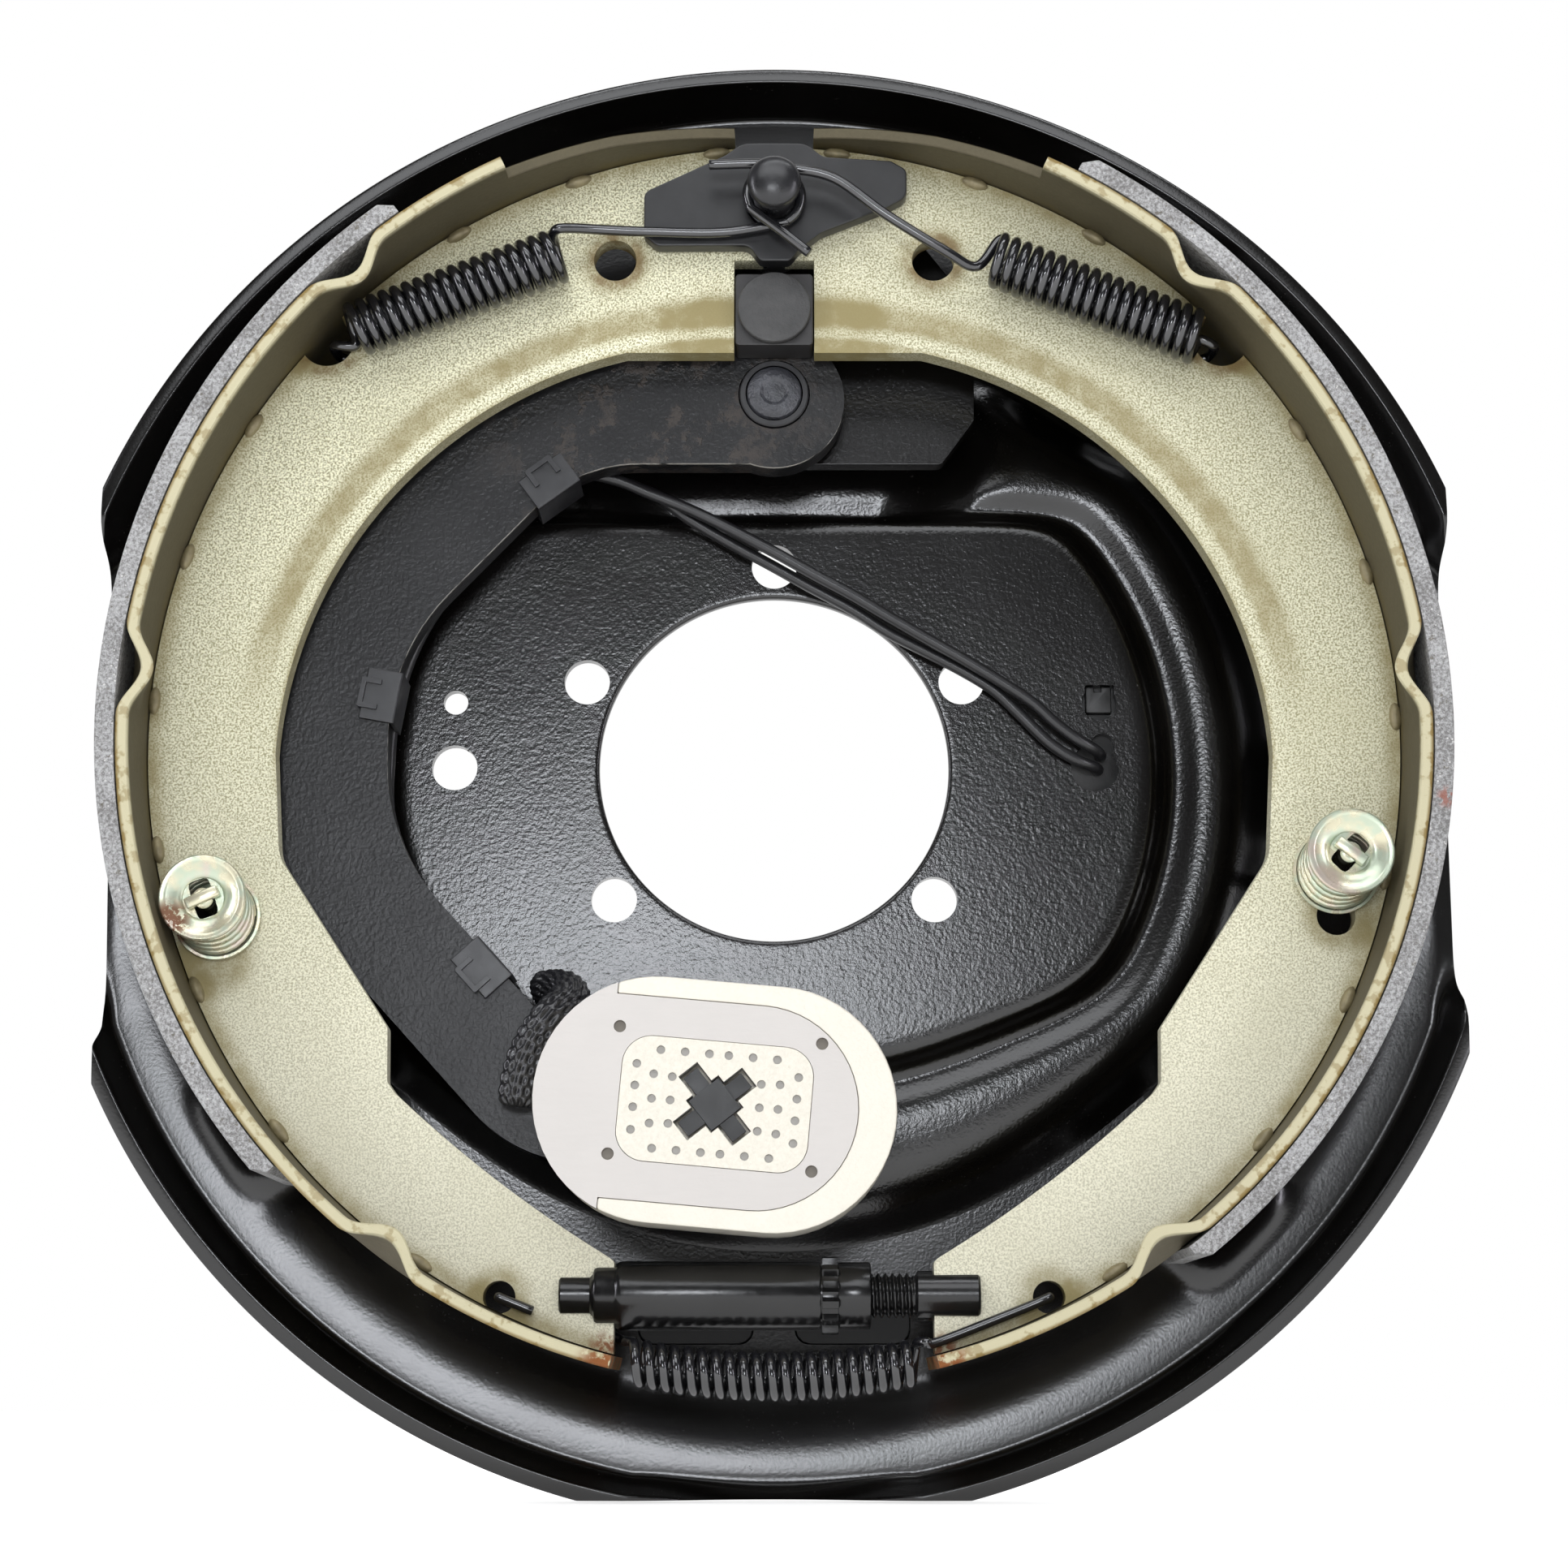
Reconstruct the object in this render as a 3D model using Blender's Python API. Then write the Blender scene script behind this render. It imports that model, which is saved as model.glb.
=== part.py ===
"""Electric trailer brake, 12 inch by 2 inch, left-hand side, without its drum.

The brake is modelled lying on the bench: x to the right, y up the plate, z towards the wheel,
with the hub axis and the front of the mounting face at zero. One empty then stands it up, the way
it is bolted to its axle, with the wheel side facing -Y.
"""
import math

import bmesh
import bpy
from mathutils import Matrix, Vector

for thing in list(bpy.data.objects):
    bpy.data.objects.remove(thing, do_unlink=True)

MM = 0.001

# Clearances
TOUCH = 0.3 * MM
SLIP = 0.3 * MM

# Outside radius of the linings, a little under the drum that they press on. The plate, the anchor,
# the adjuster, the lever and the hold-downs all keep their distance from it.
SHOE_RADIUS = 150.9 * MM

# Backing plate
SHEET = 3.2 * MM
BORE_RADIUS = 41.4 * MM
BOLT_CIRCLE_RADIUS = 49.2 * MM
BOLT_HOLE_RADIUS = 5.4 * MM
BOLT_ANGLES = (90.0, 25.0, 155.0, -40.0, 220.0)
RIM_MARGIN = 24.5 * MM
RIM_RADIUS = SHOE_RADIUS + RIM_MARGIN
RIM_FRONT = 4.0 * MM
SIDE_TRIM = 13.9 * MM
SIDE_FLAT = RIM_RADIUS - SIDE_TRIM
BOTTOM_TRIM = 5.9 * MM
BOTTOM_FLAT = RIM_RADIUS - BOTTOM_TRIM
TRIM = 2.5 * MM
FLOOR = -14.0 * MM
APRON = -10.5 * MM
BEAD_REACH = 27.0 * MM
FACE_TOP = 60.0 * MM
FACE_BOTTOM = 71.0 * MM
FACE_SIDE = 90.0 * MM
FACE_CORNER = 74.9 * MM
LEDGE_HALF_DEGREES = 3.2
LEDGE_FOOT_DEGREES = 5.5
LEDGE_ANGLES = (55.0, 0.0, -45.0, 125.0, 180.0, 225.0)
SERVICE_HOLE_X = 75.8 * MM
SERVICE_HOLE_RADIUS = 5.4 * MM
SMALL_HOLE_RADIUS = 2.9 * MM
SMALL_HOLE_Y = 15.8 * MM
CLIP_HOLE_RADIUS = 4.2 * MM
LEAD_HOLE_X = 77.4 * MM
SLOT_WIDTH = 27.0 * MM
SLOT_HEIGHT = 9.6 * MM
SLOT_GAP = 9.6 * MM
SLOT_DROP = 5.3 * MM

# Shoes
SHOE_CENTRE_Y = 1.5 * MM
LINING_THICKNESS = 4.3 * MM
TABLE_THICKNESS = 2.8 * MM
TABLE_WIDTH = 50.8 * MM
SHOE_FRONT = 50.0 * MM
WEB_THICKNESS = 6.0 * MM
NIB_DEPTH = 4.8 * MM
NIB_HALF_DEGREES = 4.3
NIB_REACH = 15.0 * MM
NIB_ANGLES = (47.5, 4.6, -54.2)
STEP_ANGLE = 64.5
STEP_DEPTH = 7.5 * MM
HEEL_DEPTH = 17.0 * MM
HEEL_ANGLE = 75.0
PRIMARY_LINING = (126.0, 222.5)
SECONDARY_LINING = (61.5, -52.5)
WEB_SLOT_HALF = 9.4 * MM
WEB_SLOT_DROP = 12.7 * MM
WEB_SLOT_HEIGHT = 22.8 * MM
WEB_HEAD_X = 34.6 * MM
WEB_END_HALF = 2.6 * MM
WEB_TOE_X = 35.4 * MM
TOOL_HOLE_X = 37.5 * MM
TOOL_HOLE_DROP = 12.7 * MM
TOOL_HOLE_RADIUS = 5.0 * MM
SPRING_NOTCH_ANGLE = 42.3
SPRING_NOTCH_RADIUS = 6.4 * MM
SPRING_NOTCH_INSET = 1.4 * MM
TOE_HOLE_ANGLE = -64.293
TOE_HOLE_INSET = 3.03 * MM
TOE_HOLE_RADIUS = 3.6 * MM
NAIL_HOLE_RADIUS = 5.2 * MM
SPARE_HOLE_DROP = 12.6 * MM

# Anchor, lever and cam
ANCHOR_INSET = 21.7 * MM
ANCHOR_Y = SHOE_RADIUS - ANCHOR_INSET
POST_RADIUS = 6.3 * MM
POST_NECK_RADIUS = 4.8 * MM
POST_HEAD_RADIUS = 6.2 * MM
POST_TOP = 48.0 * MM
POST_HEAD_HEIGHT = 4.8 * MM
BRACKET_FRONT = 8.0 * MM
BRACKET_THICKNESS = 5.0 * MM
BRACKET_LEFT = -38.0 * MM
BRACKET_RIGHT = 48.0 * MM
BRACKET_DROP = 56.8 * MM
BRACKET_RISE = 8.8 * MM
BRACKET_SHOULDER = 17.2 * MM
PIVOT_DROP = 42.6 * MM
PIVOT_Y = ANCHOR_Y - PIVOT_DROP
PIVOT_PIN_RADIUS = 6.5 * MM
BUSHING_RADIUS = 8.2 * MM
LEVER_REAR = 10.3 * MM
LEVER_THICKNESS = 8.0 * MM
LEVER_WIDTH = 26.0 * MM
LEVER_EYE_RADIUS = 16.6 * MM
CAM_DROP = 25.1 * MM
CAM_Y = ANCHOR_Y - CAM_DROP
CAM_BLOCK_HEIGHT = 17.6 * MM
CAM_BLOCK_DEPTH = 10.0 * MM
CAM_PIN_RADIUS = 4.5 * MM
CAM_HEAD_RADIUS = 8.6 * MM
CAM_HEAD_HEIGHT = 1.6 * MM
GUIDE_THICKNESS = 4.6 * MM

# Magnet
MAGNET_X = -13.0 * MM
MAGNET_INSET = 67.3 * MM
MAGNET_Y = MAGNET_INSET - SHOE_RADIUS
MAGNET_LENGTH = 80.0 * MM
MAGNET_WIDTH = 54.0 * MM
MAGNET_HEIGHT = 20.0 * MM
MAGNET_FACE = 44.0 * MM
MAGNET_TILT = math.radians(-5.0)
MAGNET_SIDE_WALL = 4.6 * MM
MAGNET_END_WALL = 8.5 * MM
MAGNET_POCKET = 6.0 * MM
CORE_LENGTH = 42.0 * MM
CORE_WIDTH = 27.4 * MM
CORE_PIT_RADIUS = 0.95 * MM
MAGNET_POST_RADIUS = 4.0 * MM
MAGNET_TRAVEL = 4.0 * MM

# Adjuster
ADJUSTER_INSET = 26.5 * MM
ADJUSTER_Y = ADJUSTER_INSET - SHOE_RADIUS
BARREL_RADIUS = 7.6 * MM
BARREL_LEFT = -34.4 * MM
BARREL_RIGHT = 10.3 * MM
CLEVIS_RADIUS = 5.1 * MM
CLEVIS_LEFT = -47.6 * MM
CLEVIS_RIGHT = 45.6 * MM
THREAD_RADIUS = 5.0 * MM
STAR_RADIUS = 8.6 * MM
STAR_WIDTH = 3.6 * MM
STAR_TEETH = 12
COLLAR_LENGTH = 7.2 * MM
SCREW_SHOULDER = 31.4 * MM

# Springs and hold-downs
SPRING_WIRE = 1.2 * MM
COIL_RADIUS = 4.55 * MM
TOE_WIRE = 1.1 * MM
TOE_COIL_RADIUS = 4.4 * MM
RETURN_TURNS = 18
TOE_TURNS = 21
PRIMARY_NAIL_ANGLE = 196.992
PRIMARY_NAIL_INSET = 10.089 * MM
SECONDARY_NAIL_ANGLE = -12.477
SECONDARY_NAIL_INSET = 11.285 * MM
NAIL_RADIUS = 2.2 * MM
CUP_RADIUS = 9.75 * MM
CUP_STACK = 10.2 * MM
CUP_HEIGHT = 3.2 * MM
CUP_SHEET = 1.0 * MM
NAIL_HEAD = (8.4 * MM, 2.6 * MM, 2.4 * MM)

# Leads
LEAD_RADIUS = 1.4 * MM
SLEEVE_RADIUS = 4.5 * MM
CLIP_LENGTH = 12.0 * MM
CLIP_SHEET = 1.0 * MM
LEAD_CLIP_DEPTH = 10.0 * MM

# Worked out from the sizes above
WEB_MIDDLE = SHOE_FRONT - TABLE_WIDTH / 2
WEB_FRONT = WEB_MIDDLE + WEB_THICKNESS / 2
WEB_REAR = WEB_MIDDLE - WEB_THICKNESS / 2
SHOE_REAR = SHOE_FRONT - TABLE_WIDTH
LEDGE = SHOE_REAR - TOUCH
TABLE_OUTER = SHOE_RADIUS - LINING_THICKNESS - TOUCH
TABLE_INNER = TABLE_OUTER - TABLE_THICKNESS
WEB_OUTER = TABLE_INNER - TOUCH
LEVER_FRONT = LEVER_REAR + LEVER_THICKNESS
PLATE_REAR = FLOOR - SHEET
NAIL_REAR = PLATE_REAR - TOUCH - 1.4 * MM
HUB_DEPTH = (SHOE_FRONT + NAIL_REAR) / 2
ADJUSTER_DEPTH = WEB_MIDDLE
SLOT_Y = ADJUSTER_Y - SLOT_DROP
WEB_SLOT_TOP = ANCHOR_Y - WEB_SLOT_DROP
WEB_SLOT_BOTTOM = WEB_SLOT_TOP - WEB_SLOT_HEIGHT
BRACKET_BOTTOM = ANCHOR_Y - BRACKET_DROP
BRACKET_TOP = ANCHOR_Y + BRACKET_RISE
BRACKET_CORNER = ANCHOR_Y - BRACKET_SHOULDER
CUP_REAR = WEB_FRONT + CUP_STACK
MAGNET_REAR = MAGNET_FACE - MAGNET_HEIGHT


def shoe_point(degrees, radius):
    turn = math.radians(degrees)
    return (radius * math.cos(turn), SHOE_CENTRE_Y + radius * math.sin(turn))


PRIMARY_NAIL = shoe_point(PRIMARY_NAIL_ANGLE, WEB_OUTER - PRIMARY_NAIL_INSET)
SECONDARY_NAIL = shoe_point(SECONDARY_NAIL_ANGLE, WEB_OUTER - SECONDARY_NAIL_INSET)
TOOL_HOLE = (TOOL_HOLE_X, ANCHOR_Y - TOOL_HOLE_DROP)
TOE_HOLE = shoe_point(TOE_HOLE_ANGLE, WEB_OUTER - TOE_HOLE_INSET)


def empty(name, place=(0, 0, 0), parent=None):
    """A plain axes empty, used as a frame or a joint axis."""
    frame = bpy.data.objects.new(name, None)
    bpy.context.collection.objects.link(frame)
    frame.parent = parent
    frame.location = place
    return frame


def material(name, colour, roughness, metallic):
    """A Principled material in a plain colour."""
    finish = bpy.data.materials.new(name)
    finish.use_nodes = True
    shader = finish.node_tree.nodes["Principled BSDF"]
    shader.inputs["Base Color"].default_value = (*colour, 1.0)
    shader.inputs["Roughness"].default_value = roughness
    shader.inputs["Metallic"].default_value = metallic
    finish.diffuse_color = (*colour, 1.0)
    return finish


FINISHES = {
    "black_paint": ((0.012, 0.012, 0.013), 0.38, 0.0),
    "black_steel": ((0.02, 0.02, 0.022), 0.42, 0.6),
    "zinc": ((0.55, 0.50, 0.34), 0.45, 0.8),
    "lining": ((0.22, 0.22, 0.22), 0.9, 0.0),
    "magnet_steel": ((0.85, 0.83, 0.76), 0.4, 0.4),
    "friction": ((0.62, 0.60, 0.58), 0.6, 0.0),
    "yellow_zinc": ((0.75, 0.66, 0.38), 0.3, 0.9),
    "black_plastic": ((0.015, 0.015, 0.016), 0.5, 0.0),
    "rubber": ((0.02, 0.02, 0.02), 0.7, 0.0),
}


def place(piece, frame, finish):
    """Hang a piece on its frame without moving it, and give it its own material."""
    piece.parent = frame
    offset = frame.location if frame.parent else Vector((0, 0, 0))
    piece.location = piece.location - offset
    piece.data.materials.append(material(piece.name + "_finish", *FINISHES[finish]))
    return piece


def mesh_piece(name, vertices, faces, smooth=None):
    """An object from vertices and faces, with its faces turned outwards."""
    mesh = bpy.data.meshes.new(name)
    shape = bmesh.new()
    corners = [shape.verts.new(v) for v in vertices]
    for face in faces:
        shape.faces.new([corners[i] for i in face])
    bmesh.ops.remove_doubles(shape, verts=shape.verts, dist=1e-7)
    bmesh.ops.recalc_face_normals(shape, faces=shape.faces)
    shape.to_mesh(mesh)
    shape.free()
    if smooth:
        mesh.shade_smooth()
        mesh.set_sharp_from_angle(angle=math.radians(smooth))
    piece = bpy.data.objects.new(name, mesh)
    bpy.context.collection.objects.link(piece)
    return piece


def loft(name, rings, closed=False, smooth=40):
    """Skin a row of equal rings. The ends are capped, unless the row closes on itself."""
    count = len(rings[0])
    vertices = [point for ring in rings for point in ring]
    faces = []
    rows = len(rings)
    for row in range(rows if closed else rows - 1):
        after = (row + 1) % rows
        for i in range(count):
            j = (i + 1) % count
            faces.append((row * count + i, row * count + j, after * count + j, after * count + i))
    if not closed:
        faces.append(tuple(range(count)))
        faces.append(tuple((rows - 1) * count + i for i in range(count)))
    return mesh_piece(name, vertices, faces, smooth)


def prism(name, outline, low, high, smooth=None):
    """An outline in the plane of the plate, drawn out from low to high."""
    lower = [(x, y, low) for x, y in outline]
    upper = [(x, y, high) for x, y in outline]
    return loft(name, [lower, upper], smooth=smooth)


def turned(name, profile, origin, along, segments=32, hollow=False, smooth=40):
    """Turn (distance, radius) pairs round an axis. A hollow profile is a closed loop."""
    axis = Vector(along).normalized()
    side = axis.orthogonal().normalized()
    across = axis.cross(side)
    start = Vector(origin)
    rings = []
    for distance, radius in profile:
        ring = []
        for k in range(segments):
            turn = math.tau * (k + 0.37) / segments
            arm = side * math.cos(turn) + across * math.sin(turn)
            ring.append(start + axis * distance + arm * radius)
        rings.append(ring)
    return loft(name, rings, closed=hollow, smooth=smooth)


def wire(name, points, radius, resolution=0):
    """A round wire along a row of points."""
    curve = bpy.data.curves.new(name, "CURVE")
    curve.dimensions = "3D"
    spline = curve.splines.new("POLY")
    spline.points.add(len(points) - 1)
    for knot, point in zip(spline.points, points):
        knot.co = (*point, 1.0)
    curve.bevel_depth = radius
    curve.bevel_resolution = resolution
    curve.use_fill_caps = True
    piece = bpy.data.objects.new(name, curve)
    bpy.context.collection.objects.link(piece)
    return piece


def cut(piece, cutter, operation="DIFFERENCE"):
    """Cut, join or trim a piece with a hidden tool body."""
    cutter.hide_render = True
    cutter.hide_viewport = False
    cutter.display_type = "WIRE"
    tool = piece.modifiers.new("cut", "BOOLEAN")
    tool.operation = operation
    tool.solver = "EXACT"
    tool.object = cutter
    cutter.parent = None
    return piece


def bake(piece, tools=()):
    """Turn a piece's modifiers into its mesh and remove the tool bodies."""
    graph = bpy.context.evaluated_depsgraph_get()
    mesh = bpy.data.meshes.new_from_object(piece.evaluated_get(graph), depsgraph=graph)
    shape = bmesh.new()
    shape.from_mesh(mesh)
    bmesh.ops.remove_doubles(shape, verts=shape.verts, dist=3e-6)
    bmesh.ops.dissolve_degenerate(shape, edges=shape.edges, dist=1e-6)
    shape.to_mesh(mesh)
    shape.free()
    piece.modifiers.clear()
    piece.data = mesh
    for tool in tools:
        bpy.data.objects.remove(tool, do_unlink=True)
    return piece


def join_pieces(name, parts):
    """Unite overlapping bodies into one solid."""
    first = parts[0]
    first.name = name
    for other in parts[1:]:
        cut(first, other, "UNION")
    return bake(first, parts[1:])


def subtract(piece, tools):
    """Cut a list of tool bodies out of a piece."""
    for tool in tools:
        cut(piece, tool)
    return bake(piece, tools)


def rod(name, centre, radius, low, high, segments=24):
    """A round bar standing on the plate."""
    return turned(name, [(low, radius), (high, radius)], (centre[0], centre[1], 0), (0, 0, 1),
                  segments)


def arc(centre, radius, start, end, steps):
    """Points on a circle, from one angle to another, in degrees."""
    points = []
    for k in range(steps + 1):
        turn = math.radians(start + (end - start) * k / steps)
        points.append((centre[0] + radius * math.cos(turn), centre[1] + radius * math.sin(turn)))
    return points


def arc_through(a, b, c, steps):
    """Points on the circle through three points, from the first to the last."""
    ax, ay = a
    bx, by = b
    cx, cy = c
    twice = 2 * (ax * (by - cy) + bx * (cy - ay) + cx * (ay - by))
    squares = [p[0] ** 2 + p[1] ** 2 for p in (a, b, c)]
    ox = (squares[0] * (by - cy) + squares[1] * (cy - ay) + squares[2] * (ay - by)) / twice
    oy = (squares[0] * (cx - bx) + squares[1] * (ax - cx) + squares[2] * (bx - ax)) / twice
    radius = math.hypot(ax - ox, ay - oy)
    start = math.degrees(math.atan2(ay - oy, ax - ox))
    end = math.degrees(math.atan2(cy - oy, cx - ox))
    return arc((ox, oy), radius, start, end, steps)


def rounded(corners, radii, closed=True, degrees=15):
    """A polygon or an open path with each of its corners turned to an arc."""
    points = []
    count = len(corners)
    for i, corner in enumerate(corners):
        if not closed and i in (0, count - 1):
            points.append(tuple(corner))
            continue
        here = Vector(corner)
        back = (Vector(corners[i - 1]) - here)
        ahead = (Vector(corners[(i + 1) % count]) - here)
        angle = back.angle(ahead)
        reach = radii[i] / math.tan(angle / 2)
        reach = min(reach, 0.49 * back.length, 0.49 * ahead.length)
        radius = reach * math.tan(angle / 2)
        if radius < 1e-6:
            points.append(tuple(corner))
            continue
        middle = (back.normalized() + ahead.normalized()).normalized()
        centre = here + middle * math.hypot(reach, radius)
        first = here + back.normalized() * reach - centre
        last = here + ahead.normalized() * reach - centre
        start = math.atan2(first.y, first.x)
        sweep = (math.atan2(last.y, last.x) - start + math.pi) % math.tau - math.pi
        steps = max(1, round(abs(math.degrees(sweep)) / degrees))
        for k in range(steps + 1):
            turn = start + sweep * k / steps
            points.append((centre.x + radius * math.cos(turn), centre.y + radius * math.sin(turn)))
    return points


def mirrored(outline):
    """The same outline on the other side of the brake."""
    return [(-x, y) for x, y in reversed(outline)]


def offset_path(path, distance):
    """An open path moved sideways, to its left for a positive distance."""
    moved = []
    for i, point in enumerate(path):
        before = Vector(path[max(i - 1, 0)])
        after = Vector(path[min(i + 1, len(path) - 1)])
        heading = (after - before).normalized()
        moved.append((point[0] - heading.y * distance, point[1] + heading.x * distance))
    return moved


def smooth_through(points, steps):
    """A smooth curve through hand-placed points, with equal steps between them."""
    ends = [2 * Vector(points[0]) - Vector(points[1]), *[Vector(p) for p in points],
            2 * Vector(points[-1]) - Vector(points[-2])]
    curve = []
    for i in range(1, len(ends) - 2):
        a, b, c, d = ends[i - 1:i + 3]
        for k in range(steps):
            t = k / steps
            curve.append(0.5 * (2 * b + (c - a) * t + (2 * a - 5 * b + 4 * c - d) * t * t
                                + (3 * b - a - 3 * c + d) * t ** 3))
    curve.append(ends[-2])
    return curve


def coil_along(spine, radius, turns, start_degrees, steps_a_turn=7):
    """Turns wound round a spine given as a function of 0 to 1."""
    points = []
    total = int(turns * steps_a_turn)
    for k in range(total + 1):
        share = k / total
        centre = Vector(spine(share))
        heading = (Vector(spine(min(share + 0.01, 1.0))) - Vector(spine(max(share - 0.01, 0.0))))
        heading.normalize()
        side = Vector((0, 0, 1)).cross(heading).normalized()
        rise = heading.cross(side)
        turn = math.radians(start_degrees) + math.tau * k / steps_a_turn
        points.append(centre + radius * (side * math.cos(turn) + rise * math.sin(turn)))
    return points


# Frames and joint axes
bench = empty("hub_frame", (0, HUB_DEPTH, BOTTOM_FLAT))
bench.rotation_euler = (math.pi / 2, 0, 0)
still = empty("still_frame", parent=bench)
lever_axis = empty("lever_axis", (0, PIVOT_Y, 0), bench)
cam_axis = empty("cam_axis", (0, CAM_Y, 0), bench)
magnet_axis = empty("magnet_axis", (MAGNET_X, MAGNET_Y, 0), bench)
primary_axis = empty("primary_shoe_axis", (CLEVIS_LEFT + 6 * MM, ADJUSTER_Y, 0), bench)
secondary_axis = empty("secondary_shoe_axis", (0, ANCHOR_Y, 0), bench)
adjuster_axis = empty("adjuster_axis", (0, ADJUSTER_Y, ADJUSTER_DEPTH), bench)
primary_cup_axis = empty("primary_cup_axis", (*PRIMARY_NAIL, 0), bench)
secondary_cup_axis = empty("secondary_cup_axis", (*SECONDARY_NAIL, 0), bench)


# Backing plate: one pressing
FACE_EDGES = ((90.0, FACE_TOP), (-69.0, FACE_CORNER), (249.0, FACE_CORNER), (270.0, FACE_BOTTOM))
CORNER_SHARPNESS = 26


def face_radius(degrees):
    """Distance from the hub to the edge of the raised face: round at the sides, straight above and
    below, with its corners softened."""
    total = FACE_SIDE ** -CORNER_SHARPNESS
    for facing, reach in FACE_EDGES:
        lean = math.cos(math.radians(degrees - facing))
        if lean > 0.05:
            total += (lean / reach) ** CORNER_SHARPNESS
    return total ** (-1 / CORNER_SHARPNESS)


def plate_edge(degrees):
    """Distance from the hub to the edge of the blank, a little outside the three trimmed flats."""
    turn = math.radians(degrees)
    reach = RIM_RADIUS
    if abs(math.cos(turn)) > 1e-6:
        reach = min(reach, (SIDE_FLAT + TRIM) / abs(math.cos(turn)))
    if math.sin(turn) < -1e-6:
        reach = min(reach, (BOTTOM_FLAT + TRIM) / -math.sin(turn))
    return reach


def flat_corner(flat):
    """Angle from a flat's middle to its corner on the rim, or none where the flat clears the rim."""
    return [math.degrees(math.acos((flat + TRIM) / RIM_RADIUS))] if flat + TRIM < RIM_RADIUS else []


def ledge_share(degrees):
    """How much of a shoe ledge stands at this angle, from 0 to 1."""
    share = 0.0
    for middle in LEDGE_ANGLES:
        away = abs((degrees - middle + 180) % 360 - 180)
        ramp = (LEDGE_FOOT_DEGREES - away) / (LEDGE_FOOT_DEGREES - LEDGE_HALF_DEGREES)
        share = max(share, min(1.0, max(0.0, ramp)))
    return share


def plate_section(degrees):
    """Radius and height of the pressing along one ray from the hub."""
    face = face_radius(degrees)
    edge = plate_edge(degrees)
    shoe = SHOE_RADIUS - 15.0 * MM
    rim = max(0.0, 1.0 - (RIM_RADIUS - edge) / (1.2 * MM))
    apron_start = SHOE_RADIUS + 3.0 * MM
    ledge = FLOOR + (LEDGE - FLOOR) * ledge_share(degrees)
    bead = 0.45 if abs((degrees - 90 + 180) % 360 - 180) < 32 else 1.0
    crest = FLOOR + (-3.0 * MM - FLOOR) * bead
    groove = min(-6.0 * MM, crest - 1.0 * MM)
    spread = min(1.0, (shoe - 6.0 * MM - face) / BEAD_REACH)
    return [
        (BORE_RADIUS, 0.0),
        (face - 1.0 * MM, 0.0),
        (face + spread * 2.5 * MM, groove + 1.0 * MM),
        (face + spread * 7.0 * MM, groove),
        (face + spread * 13.0 * MM, crest),
        (face + spread * 18.0 * MM, crest - 0.4 * MM),
        (face + spread * BEAD_REACH, FLOOR),
        (shoe - 2.0 * MM, FLOOR),
        (shoe + 4.0 * MM, ledge),
        (SHOE_RADIUS - 2.0 * MM, ledge),
        (apron_start, APRON - 1.0 * MM),
        (edge - (4.6 * MM) - (2.6 * MM) * rim, APRON),
        (edge - SHEET * 0.95 * rim - (1.6 * MM), APRON + (5.5 * MM) * rim),
        (edge - SHEET * 0.95 * rim, APRON + (RIM_FRONT - APRON) * rim),
    ]


def plate_angles():
    """Rays closer together where the outline or a ledge changes."""
    special = []
    for middle in LEDGE_ANGLES:
        for step in (-LEDGE_FOOT_DEGREES, -LEDGE_HALF_DEGREES, LEDGE_HALF_DEGREES, LEDGE_FOOT_DEGREES):
            special.append((middle + step) % 360)
    for side in flat_corner(SIDE_FLAT):
        special += [side, side - 1.5, 180 - side, 181.5 - side, 180 + side, 178.5 + side, 360 - side, 361.5 - side]
    for foot in flat_corner(BOTTOM_FLAT):
        special += [270 - foot, 268.5 - foot, 270 + foot, 271.5 + foot]
    special = [degrees % 360 for degrees in special]
    angles = list(special)
    for k in range(48):
        plain = k * 7.5 + 2.1
        if min(abs((plain - s + 180) % 360 - 180) for s in special) > 2.6:
            angles.append(plain)
    return sorted(angles)


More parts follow.
